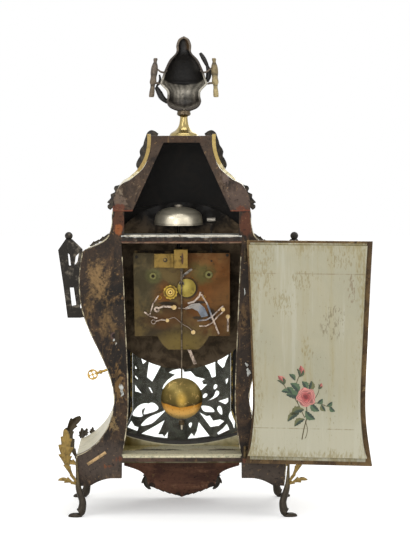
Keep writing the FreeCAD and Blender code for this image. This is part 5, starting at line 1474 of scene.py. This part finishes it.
@dataclass
class DialFace:
    """Roman hour figures in raised dark enamel, a minute ring and its marks on the dial, in millimetres."""

    centre: float = 328.0
    face: float = 50.0
    sunk: float = 0.05
    proud: float = 0.25
    figure_ring: float = 80.0
    high: float = 15.0
    stroke: float = 1.7
    mark: float = 0.6
    hour_mark: float = 1.6
    rings: tuple[tuple[float, float], ...] = ((91.0, 91.6), (98.4, 99.0), (66.0, 66.5))
    figures: str = "XII I II III IIII V VI VII VIII IX X XI"
    colour: Colour = srgb(34, 42, 66)

    def strokes(self, figure: str) -> list[tuple[float, float, float, float]]:
        """Lines of a Roman figure as x0, z0, x1, z1, centred, with height from -0.5 to 0.5.

        Args:
            figure: letters I, V and X.

        Returns:
            The lines.
        """
        widths = {"I": 0.26, "V": 0.56, "X": 0.6}
        marks = {"I": ((0.5, -0.5, 0.5, 0.5),), "V": ((0.08, 0.5, 0.5, -0.5), (0.92, 0.5, 0.5, -0.5)),
                 "X": ((0.08, 0.5, 0.92, -0.5), (0.92, 0.5, 0.08, -0.5))}
        start = -sum(widths[c] for c in figure) / 2
        lines = []
        for c in figure:
            lines += [(start + a * widths[c], b, start + d * widths[c], e) for a, b, d, e in marks[c]]
            start += widths[c]
        return lines

    def bar(self, ends: np.ndarray, wide: float, angle: float) -> Shell:
        """Flat bar on the dial, turned clockwise (as seen from the front) about the dial's middle.

        Args:
            ends: two points (x, z) from the dial's middle, before the turn.
            wide: width in millimetres.
            angle: turn in degrees.

        Returns:
            The bar.
        """
        along = unit(ends[1] - ends[0])
        side = np.array([-along[1], along[0]]) * wide / 2
        flat = np.stack([ends - side, ends + side], axis=1)
        c, s = heading(angle)
        x, z = flat[..., 0] * c + flat[..., 1] * s, flat[..., 1] * c - flat[..., 0] * s
        face, back = (np.stack([-x, np.full_like(x, y), z + self.centre], axis=-1) * MM
                      for y in (self.face + self.proud, self.face - self.sunk))
        return sheet_shell(face, back, even_paint(self.colour, 2, 2))

    def build(self) -> None:
        """Makes the figures, marks and rings."""
        shells = []
        for hour, figure in enumerate(self.figures.split()):
            for x0, z0, x1, z1 in self.strokes(figure):
                ends = np.array([[x0, z0], [x1, z1]]) * self.high + np.array([0.0, self.figure_ring])
                shells.append(self.bar(ends, self.stroke, 30 * hour))
        tick = np.array([[0.0, self.rings[0][1]], [0.0, self.rings[1][0]]])
        shells += [self.bar(tick, self.mark if minute % 5 else self.hour_mark, 6 * minute)
                   for minute in range(60)]
        low, high = self.face - self.sunk, self.face + self.proud
        for inner, outer in self.rings:
            section = np.array([[inner, low], [outer, low], [outer, high], [inner, high]]) * MM
            shells.append(hoop(section, self.colour).moved(np.eye(3), (0.0, 0.0, self.centre * MM)))
        enamel = Painted("figure_enamel", 0.3, 0.0, 200.0, 0.05, 0.00002).material()
        piece("dial_figures", shells, enamel)


@dataclass
class BellShape:
    """The bell's thin wall with its steep sides, turned about an upright axis, in millimetres."""

    axis: tuple[float, float] = (-4.4, -12.0)
    outer: Rows = (
        (2.6, 450.4), (14.0, 449.4), (24.0, 446.6), (30.8, 442.6), (34.4, 437.4), (35.6, 431.0),
        (36.2, 424.2))
    bore: float = 2.6
    wall: float = 1.4

    def build(self) -> None:
        """Makes the bell: the outer run down to the lip, then the same run back, narrower by the wall; darker
        rings near the lip and the shoulder are painted shade.
        """
        out = spline(self.outer, 90)
        back = np.column_stack([np.maximum(out[:, 0] - self.wall, self.bore),
                                out[:, 1] - self.wall * smooth(out[:, 1], 424.2, 440.0)])
        profile = np.vstack([out, back[::-1]])
        # painted shade: darker rings near the lip and at the shoulder
        lines = hump(profile[:, 1], 426.0, 1.2) + 0.6 * hump(profile[:, 1], 441.0, 1.6)
        paint = blend(0.5 * lines, srgb(222, 213, 190), srgb(120, 110, 92))
        polish = Painted("bell_polish", 0.36, 0.7, 60.0, 0.14, 0.00004).material()
        piece("bell_turned", [lathe(profile, self.axis, paint, 96)], polish, ["bell"])


@dataclass
class SillBlock:
    """Low block behind the front opening: dark above its arc, a pale edge on the arc and cream below it."""

    half: float = 85.6
    rear: float = 15.0
    front: float = 60.9
    foot: float = 90.1
    crown: float = 98.8
    arc: float = 90.9
    crown_rise: float = 12.0
    arc_rise: float = 15.0
    fall: float = 7.0

    def build(self) -> None:
        """Sections along X: crown + crown_rise s and arc + arc_rise s, with s = (x / half)^2, in mm."""
        x = np.linspace(-self.half, self.half, 121)
        s = (x / self.half) ** 2
        arc, top = self.arc + self.arc_rise * s, self.crown + self.crown_rise * s
        edge = arc - 0.8 - 0.3 * np.sin(0.23 * x) * np.sin(0.071 * x)
        foot = np.full_like(x, self.foot)
        heights = np.stack([foot, np.maximum(edge - 0.15, foot + 0.05), np.maximum(edge, foot + 0.1),
                            arc + 0.5, arc + 0.65, top, top - self.fall, foot], axis=1)
        depths = np.array([self.rear] * 6 + [self.front] * 2)
        rings = np.stack(np.broadcast_arrays(x[:, None], depths, heights), axis=-1)
        share = smooth(-x, 56.0, 80.0) + 0.25 * np.sin(0.31 * x) * np.sin(0.12 * x)
        low = blend(share, srgb(198, 188, 148), srgb(126, 108, 46))
        pale, dark = even_paint(srgb(212, 204, 172), len(x)), even_paint(srgb(48, 44, 38), len(x))
        paint = np.stack([low, low, pale, pale, dark, dark, dark, low], axis=1)
        material = Painted("sill_paint", 0.6, 0.0, 120.0, 0.2).material()
        piece("sill_block", [ring_shell(rings * MM, paint)], material)


@dataclass
class StrikeWires:
    """Thin steel wires and a loop over the back plate's strike work; places are X and height in mm."""

    depth: float = -42.3
    radius: float = 0.6
    loop_radius: float = 3.0
    loop_wire: float = 0.75
    loop_place: tuple[float, float] = (-41.5, 282.5)
    long: Rows = ((-19.0, 286.6), (-13.0, 288.6), (-8.7, 287.8), (1.8, 278.9), (10.2, 274.3), (15.5, 269.2))
    short: Rows = ((-34.0, 284.6), (-29.0, 286.4), (-23.0, 285.2))
    link: Rows = ((-5.4, 303.0), (1.0, 302.4), (9.0, 301.6))
    colour: Colour = srgb(150, 134, 120)

    def wire(self, knots: Rows) -> Shell:
        """Round wire through knots.

        Args:
            knots: places in millimetres.

        Returns:
            The wire.
        """
        x, z = spline(knots, 50).T
        path = np.column_stack([x, np.full_like(x, self.depth), z]) * MM
        return tube(path, np.full((len(path), 2), self.radius * MM), even_paint(self.colour, len(path)), 8)

    def build(self) -> None:
        """Makes the wires and the loop."""
        t = angles(12)
        section = np.column_stack([self.loop_radius + self.loop_wire * np.cos(t),
                                   self.depth + self.loop_wire * np.sin(t)]) * MM
        x, z = self.loop_place
        loop = hoop(section, self.colour, 36).moved(np.eye(3), (x * MM, 0.0, z * MM))
        shells = [self.wire(knots) for knots in (self.long, self.short, self.link)] + [loop]
        steel = Painted("wire_steel", 0.35, 0.8, 200.0, 0.2, 0.00003).material()
        piece("strike_wires", shells, steel)


@dataclass
class Case:
    """The carcass: stiles, rails, hood frame, walls and base, with the wear of its rear face."""

    rear: float = -75.0
    reach: float = 50.0

    def stiles(self) -> None:
        """Finishes of the two stiles: rubbed gold, rust, grey near the feet and the button's dark seat."""
        gold, rust, red = (116, 91, 58), (122, 70, 40), (100, 60, 42)
        left = patches(
            self.rear, self.reach,
            (-124, 350, 30, 62, (142, 113, 74), 0.62, 3.4, 0.14), (-106, 285, 24, 52, gold, 0.55, 3.4, 0.14),
            (-138, 310, 16, 50, gold, 0.5, 3.4, 0.14), (-91, 430, 16, 34, (82, 50, 34), 0.9, 2.0),
            (-91, 420, 12, 16, (140, 80, 42), 0.7, 3.0), (-100, 80, 30, 12, rust, 0.45),
            (-100, 135, 18, 20, (130, 108, 72), 0.55), (-94, 200, 10, 50, (108, 82, 48), 0.4),
            (-118, 82, 75, 50, (75, 64, 56), 0.95, 1.6, 0.25), (-90, 84, 14, 8, red, 0.5, 3.6),
            (-106, 74, 18, 6, (110, 66, 42), 0.45, 3.8), (-97.8, 265.5, 10.5, 9.5, (96, 76, 70), 1.0, 0.4),
            (-97.5, 265.5, 7.5, 6.5, (18, 12, 9), 1.0, 0.4))
        right = patches(
            self.rear, self.reach,
            (94, 430, 16, 34, (86, 50, 34), 0.9, 2.0), (112, 395, 16, 20, rust, 0.55),
            (91, 300, 10, 90, (96, 74, 48), 0.5), (122, 70, 75, 40, (72, 62, 54), 0.95, 1.6, 0.25),
            (90, 81, 14, 8, red, 0.5, 3.6))
        dress(WornVeneer("veneer_left", patches=left), "rear_stile_left")
        dress(WornVeneer("veneer_right", patches=right), "rear_stile_right")

    def frame_boards(self) -> None:
        """Finishes of the hood's frame, the rails and the apron, whose grain runs level."""
        hood = patches(
            self.rear, self.reach,
            (-94, 462, 24, 14, (102, 86, 74), 0.45), (88, 468, 45, 45, (88, 72, 63), 0.8, 2.0, 0.25),
            (66, 500, 14, 30, (104, 88, 80), 0.5), (-92, 451, 20, 10, (98, 56, 40), 0.6),
            (92, 451, 20, 10, (98, 56, 40), 0.6), (0, 548, 70, 20, (64, 46, 33), 0.8, 2.4, 0.2))
        line = (Band(0.4470, 0.4492, srgb(112, 58, 38)),)
        dress(WornVeneer("veneer_hood", srgb(73, 59, 48), srgb(36, 29, 24), srgb(84, 65, 49),
                         srgb(136, 122, 104), 0.56, hood, line), "hood_rear_frame")
        rail = (Band(0.4015, 0.4032, srgb(104, 66, 46), 0.7), Band(0.4098, 0.4125, Tone.CHALK.value, 0.8))
        dress(WornVeneer("veneer_rail", srgb(38, 31, 26), srgb(22, 18, 15), srgb(74, 60, 50),
                         srgb(130, 116, 98), 0.58, (), rail), "rear_shelf_rail")
        top = (Band(0.0884, 0.0935, srgb(196, 189, 158), 0.85),)
        dress(WornVeneer("veneer_bottom", srgb(78, 58, 47), srgb(48, 37, 31), srgb(94, 70, 57), bands=top),
              "rear_bottom_rail")
        tips = patches(70, 30, *((x, z, 12, 14, (30, 24, 19), 0.9, 1.0)
                                 for x, z in ((-46, 19), (46, 19), (-6, 4), (8, 4))))
        dress(WornVeneer("apron_wood", srgb(120, 80, 60), srgb(82, 54, 42), srgb(134, 92, 70),
                         srgb(150, 110, 84), 0.58, tips, grain=(0.25, 1.0, 1.6), scratch=(0.05, 1.0, 1.0)),
              "front_apron")

    def dress(self) -> None:
        """Gives the case's boards their finishes."""
        self.stiles()
        self.frame_boards()
        spots = ((0.02, -0.01, 0.14, 0.06, (206, 200, 170), 0.9, 1.6),
                 (-0.08, 0.0, 0.05, 0.09, (158, 142, 82), 0.6, 3.0),
                 (-0.036, -0.030, 0.075, 0.024, (60, 48, 32), 0.8, 2.8),
                 (0.062, -0.030, 0.045, 0.024, (70, 52, 34), 0.8, 2.8),
                 (0.022, -0.026, 0.03, 0.024, (184, 168, 130), 0.7, 3.4))
        floor = tuple(Patch((x, y, 0.09), (a, b, 0.03), srgb(*colour), *edge)
                      for x, y, a, b, colour, *edge in spots)
        edge = (Band(0.06, 0.0845, srgb(78, 56, 44), 1.0),)
        dress(WornVeneer("base_wood", srgb(214, 196, 132), srgb(152, 128, 66), srgb(222, 208, 156),
                         srgb(232, 222, 184), 0.54, floor, edge), "base_board")
        dress(Plain("hood_wood", srgb(40, 32, 26), srgb(24, 20, 16), 0.7, 40), "hood_top_board")
        dress(PaintedSide("painted_side"), "side_wall_left", "side_wall_right", "hood_sides", "front_board",
              "hood_front_panel")


@dataclass
class RearDoor:
    """The rear door, its paint and its rim."""

    rim: WornVeneer = WornVeneer("door_rim", srgb(104, 82, 52), srgb(66, 50, 34), srgb(122, 98, 60),
                                 srgb(160, 138, 94), 0.58)

    def dress(self) -> None:
        """Gives the door's boards their finishes."""
        dress(DoorPaint("door_paint"), "rear_door_panel", "rear_door_clamps")
        dress(self.rim, "rear_door_lip")


@dataclass
class Metalwork:
    """Mounts, movement, bell and fittings.

    After its two colours, each metal gives roughness, share of film, grain, relief, patches and hold.
    """

    nut: tuple[int, int, int] = (172, 148, 104)
    groove: tuple[int, int, int] = (62, 46, 20)
    warm: tuple[Colour, Colour] = (srgb(158, 142, 128), srgb(84, 70, 58))

    def mounts(self) -> None:
        """Finishes of the gilt and bronze mounts and the pendulum's bob."""
        dress(Metal("gilt", srgb(168, 140, 76), srgb(66, 52, 28), 0.38, 0.55, 70, 0.0006), "front_door_frame")
        beads = patches(-72, 50, (-50, 530, 50, 60, (150, 126, 70), 1.0, 1.0),
                        (50, 540, 50, 50, (170, 146, 84), 1.0, 1.0))
        dress(Metal("bead_gilt", srgb(206, 196, 160), srgb(132, 112, 68), 0.42, 0.4, 130, 0.0003,
                    beads, 0.35), "hood_beads")
        dress(Metal("bronze", srgb(108, 100, 88), srgb(36, 32, 27), 0.42, 0.7, 90, 0.0006, hold=0.6),
              "corner_mount_left", "corner_mount_right")
        dress(Metal("fret_bronze", srgb(118, 115, 105), srgb(92, 89, 80), 0.8, 0.5, 70, 0.0003, hold=0.0),
              "front_door_fret")
        dress(BobBrass("bob_brass"), "pendulum_bob")

    def brass(self) -> None:
        """Finishes of the brass parts: cock, wheels, hinges and the hour star with its turned rings."""
        screw = discs(-44, 30, 6, (40, 30, 14), (-24.0, 374))
        screw += discs(-44, 30, 3.2, (128, 104, 52), (-24.6, 374.6))
        slit = patches(-50, 30, (1.2, 377, 3.4, 17, (64, 38, 16), 1.0, 0.8))
        dress(Metal("cock_brass", srgb(132, 105, 40), srgb(98, 78, 28), 0.5, 0.35, 60, 0.0001,
                    screw + slit, 0.45), "suspension_cock")
        pivots = discs(-44, 14, 8.5, (92, 58, 14), (-32.5, 318), (32.5, 318), (16.4, 346.9))
        dress(Metal("brass", srgb(172, 140, 74), srgb(108, 84, 42), 0.36, 0.3, 60, 0.0001, pivots),
              "door_key", "plate_pillars", "going_barrel", "strike_barrel", "centre_wheel", "third_wheel",
              "escape_wheel", "pin_wheel", "minute_wheel", "hour_wheel")
        dress(Metal("dull_brass", srgb(92, 74, 42), srgb(50, 40, 26), 0.5, 0.6, 90, 0.0002, hold=0.6),
              "front_plate", "case_hinges", "rear_door_hinges", "turn_button", "rating_nut")
        rings = ((14.6, self.groove), (12.0, (168, 140, 66)), (7.6, self.groove), (6.0, (190, 162, 92)),
                 (2.6, self.groove))
        hub = tuple(disc for r, colour in rings for disc in discs(-46, 20, r, colour, (-16.6, 326.6)))
        dress(Metal("star_brass", srgb(156, 130, 56), srgb(110, 88, 40), 0.4, 0.4, 90, 0.0001, hub),
              "star_wheel")

    def plate(self) -> None:
        """Finish of the back plate: tarnish, the wheel's pale disc with a painted shadow ring and a painted
        highlight, screws and painted shade beside the levers.
        """
        tarnish = patches(
            -38, 30,
            (44, 335, 80, 110, (101, 59, 9), 0.95, 1.4, 0.3), (62, 300, 40, 70, (90, 58, 17), 0.9, 1.4, 0.3),
            (-30, 325, 30, 30, (118, 70, 16), 0.8, 1.6, 0.3), (-22, 286, 60, 22, (84, 54, 18), 0.7, 1.6, 0.3),
            (-55, 340, 45, 85, (66, 57, 32), 0.8, 1.6, 0.3), (30, 356, 34, 28, (88, 80, 36), 0.7, 1.6, 0.3),
            (-40, 352, 20, 20, (92, 90, 50), 0.7, 1.6, 0.3), (0, 250, 60, 30, (100, 83, 35), 0.8, 1.6, 0.3))
        # painted shadow: a dark disc round the wheel's boss, then the boss's own pale disc
        wheel = discs(-38, 2.1, 28.5, (46, 32, 12), (8.5, 331.5))
        wheel += discs(-41, 2.1, 30, (138, 120, 48), (7.5, 332.5))
        # painted highlight on the left of the boss
        painted_highlight = patches(-41, 2.1, (4.5, 336.5, 14, 19, (178, 160, 78), 0.8, 1.2, 0.2))
        screws = discs(-38, 30, 4.2, (26, 20, 8), (-66.3, 378), (67.3, 380.5))
        # painted shade beside the levers and wheels
        shade = patches(
            -38, 30,
            (-22.5, 309.5, 22, 4.6, (40, 28, 10), 0.9, 0.8, 0.1),
            (27, 311, 18, 4.6, (40, 28, 10), 0.9, 0.8, 0.1), (44, 292, 10, 17, (44, 30, 10), 0.9, 0.8, 0.1),
            (25, 288, 20, 5, (46, 34, 14), 0.8, 0.8, 0.1))
        dress(Metal("plate_brass", srgb(82, 66, 30), srgb(54, 42, 20), 0.46, 0.5, 34, 0.0001,
                    tarnish + wheel + painted_highlight + screws + shade, 0.6), "back_plate")

    def steel(self) -> None:
        """Finishes of the strike work, the pendulum's rod, the hammer and the bell's stand."""
        blue = patches(-40, 20, (24, 302, 34, 20, (126, 122, 116), 1.0, 1.2, 0.2),
                       (34, 295, 22, 22, (98, 103, 110), 1.0, 1.2, 0.2))
        nuts = discs(-41, 20, 5.6, self.nut, (68, 290), (17, 267), (-21, 284.5), (61, 300.5))
        posts = ((-42, 350), (40, 352))
        holes = discs(-41, 20, 14, (92, 88, 54), *posts) + discs(-41, 20, 4.5, (34, 30, 20), *posts)
        dress(Metal("strike_steel", *self.warm, 0.36, 0.4, 140, 0.0001, blue + nuts + holes),
              "strike_springs")
        knob = discs(-41, 20, 8.6, self.nut, (-11, 304))
        dress(Metal("lever_steel", *self.warm, 0.36, 0.4, 140, 0.0001, knob), "strike_lever")
        dress(Metal("steel", srgb(112, 106, 98), srgb(62, 56, 50), 0.38, 0.5, 120, 0.0001),
              "anchor_crutch", "lock_case")
        end = patches(-50, 20, (0, 126.5, 6, 8.5, (206, 196, 172), 1.0, 0.0))
        dress(Metal("rod_steel", srgb(112, 98, 78), srgb(62, 52, 40), 0.4, 0.5, 120, 0.0001, end, 0.6),
              "pendulum_rod")
        head = patches(-12, 20, (44, 432, 20, 6.5, (176, 170, 158), 1.0, 0.0))
        dress(Metal("hammer_steel", srgb(52, 47, 42), srgb(34, 30, 27), 0.45, 0.5, 120, 0.0001, head),
              "hammer")
        cap = patches(-12, 20, (-4.4, 453, 20, 7, (168, 160, 146), 1.0, 0.0))
        dress(Metal("stand_iron", srgb(46, 41, 36), srgb(28, 25, 22), 0.5, 0.5, 120, 0.0001, cap),
              "bell_stand")
        dress(Metal("blued", srgb(70, 84, 104), srgb(30, 36, 52), 0.3, 0.5, 60), "hour_hand", "minute_hand")

    def dress(self) -> None:
        """Gives the metal parts, the dial and the glass their finishes."""
        self.mounts()
        self.brass()
        self.plate()
        self.steel()
        dress(Plain("enamel", srgb(232, 230, 220), srgb(222, 218, 204), 0.25, 50, 0.5), "dial")
        # darker at the top, inside the hood
        dark_top = patches(30, 100, (0, 450, 160, 75, (22, 18, 14), 1.0, 0.6, 0.1))
        dress(Metal("iron", srgb(106, 86, 58), srgb(74, 60, 42), 0.62, 0.5, 60, 0.0001, dark_top, 0.0),
              "dial_plate")
        dress(Plain("glass", srgb(250, 252, 250), srgb(244, 248, 246), 0.06, 20, 0.0, 1.0),
              "front_door_glass")


@dataclass
class Studio:
    """Floor, lamps, world and camera; a lamp's row holds its name, place, size and power."""

    floor_half: float = 6.0
    white_from: float = 1.8
    glow_near: float = 0.38
    glow_far: float = 0.66
    object_light: float = 0.5
    target: tuple[float, float, float] = (0.0, 0.0, 0.33)
    lights: tuple[tuple[str, Row, float, float], ...] = (
        ("key", (-1.6, -2.2, 2.0), 1.6, 21.0), ("fill", (2.0, -2.0, 1.2), 1.6, 9.5),
        ("low", (-0.5, -3.0, 0.75), 1.0, 14.0), ("top", (0.1, -0.2, 2.6), 1.8, 26.0),
        ("front", (0.8, 2.4, 1.6), 1.6, 22.0))
    eye: tuple[float, float, float] = (0.0, -3.475, 0.640)
    pitch: float = 4.85
    yaw: float = 0.574
    lens: float = 152.4
    sensor: float = 36.0

    def build(self) -> None:
        """Makes the floor, the light and the camera."""
        self.floor()
        self.world()
        self.lamps()
        self.camera()

    def floor(self) -> None:
        """Pale floor: a square in the plane Z = 0, white to the camera, that keeps the shadow."""
        h = self.floor_half
        mesh = bpy.data.meshes.new("floor")
        mesh.from_pydata([(-h, -h, 0.0), (h, -h, 0.0), (h, h, 0.0), (-h, h, 0.0)], [], [(0, 1, 2, 3)])
        plane = bpy.data.objects.new("floor", mesh)
        bpy.context.scene.collection.objects.link(plane)
        g = Graph(bpy.data.materials.new("floor_white"))
        cloud = g.mix(g.noise(3, 3), (0.80, 0.80, 0.79), (0.82, 0.82, 0.81))
        diffuse = g.add("BsdfDiffuse", {"Color": cloud})
        close = g.near((0.0, 0.0, 0.0), (self.white_from, self.white_from, 1.0))
        level = g.minus(self.glow_far, g.times(close, self.glow_far - self.glow_near))
        glow = g.add("Emission", {"Color": WHITE, "Strength": g.times(g.seen(), level)})
        both = g.add("AddShader", {0: diffuse.outputs[0], 1: glow.outputs[0]})
        g.add("OutputMaterial", {"Surface": both.outputs[0]})
        mesh.materials.append(g.owner)

    def world(self) -> None:
        """White background for the camera, softer light for the object."""
        g = Graph(bpy.data.worlds.new("studio"))
        bpy.context.scene.world = g.owner
        spread = g.add("MapRange", {"Value": g.seen(), "To Min": self.object_light, "To Max": 1.0})
        back = g.add("Background", {"Color": WHITE, "Strength": spread.outputs[0]})
        g.add("OutputWorld", {"Surface": back.outputs[0]})

    def lamps(self) -> None:
        """Large soft lamps that face the clock: key upper left, fill right, low rear, top and front."""
        for name, place, size, power in self.lights:
            data = bpy.data.lights.new(name, "AREA")
            data.size, data.energy = size, power
            lamp = bpy.data.objects.new(name, data)
            lamp.location = place
            x, y, z = np.array(self.target) - np.array(place)
            lamp.rotation_euler = (math.atan2(math.hypot(x, y), -z), 0.0, math.atan2(x, -y) + math.pi)
            bpy.context.scene.collection.objects.link(lamp)

    def camera(self) -> None:
        """Camera at the photo's place and angle."""
        data = bpy.data.cameras.new("photo")
        data.lens, data.sensor_width = self.lens, self.sensor
        camera = bpy.data.objects.new("photo", data)
        camera.location = self.eye
        camera.rotation_euler = (math.radians(90.0 - self.pitch), 0.0, math.radians(-self.yaw))
        bpy.context.scene.collection.objects.link(camera)
        bpy.context.scene.camera = camera


def main() -> None:
    """Builds the object's looks in order, then the studio."""
    logging.basicConfig(level=logging.INFO)
    for part in (Case(), RearDoor(), Metalwork()):
        part.dress()
    gilt_cast = Painted("gilt_cast", 0.42, 0.65, 240.0, 0.3, 0.0005).material()
    dark_cast = Painted("dark_cast", 0.45, 0.35, 240.0, 0.3, 0.0005).material()
    for corner in Corner:
        Foot(corner, 3.0 if corner is Corner.REAR_RIGHT else 0.0).build(gilt_cast)
    for part in (Finial(), FrontMounts()):
        part.build(dark_cast)
    for part in (EdgeWear(), BackTrim(), DoorArt(), DialFace(), BellShape(), SillBlock(), StrikeWires()):
        part.build()
    Studio().build()
    bpy.context.scene.view_settings.view_transform = "Standard"


if __name__ == "__main__":
    main()
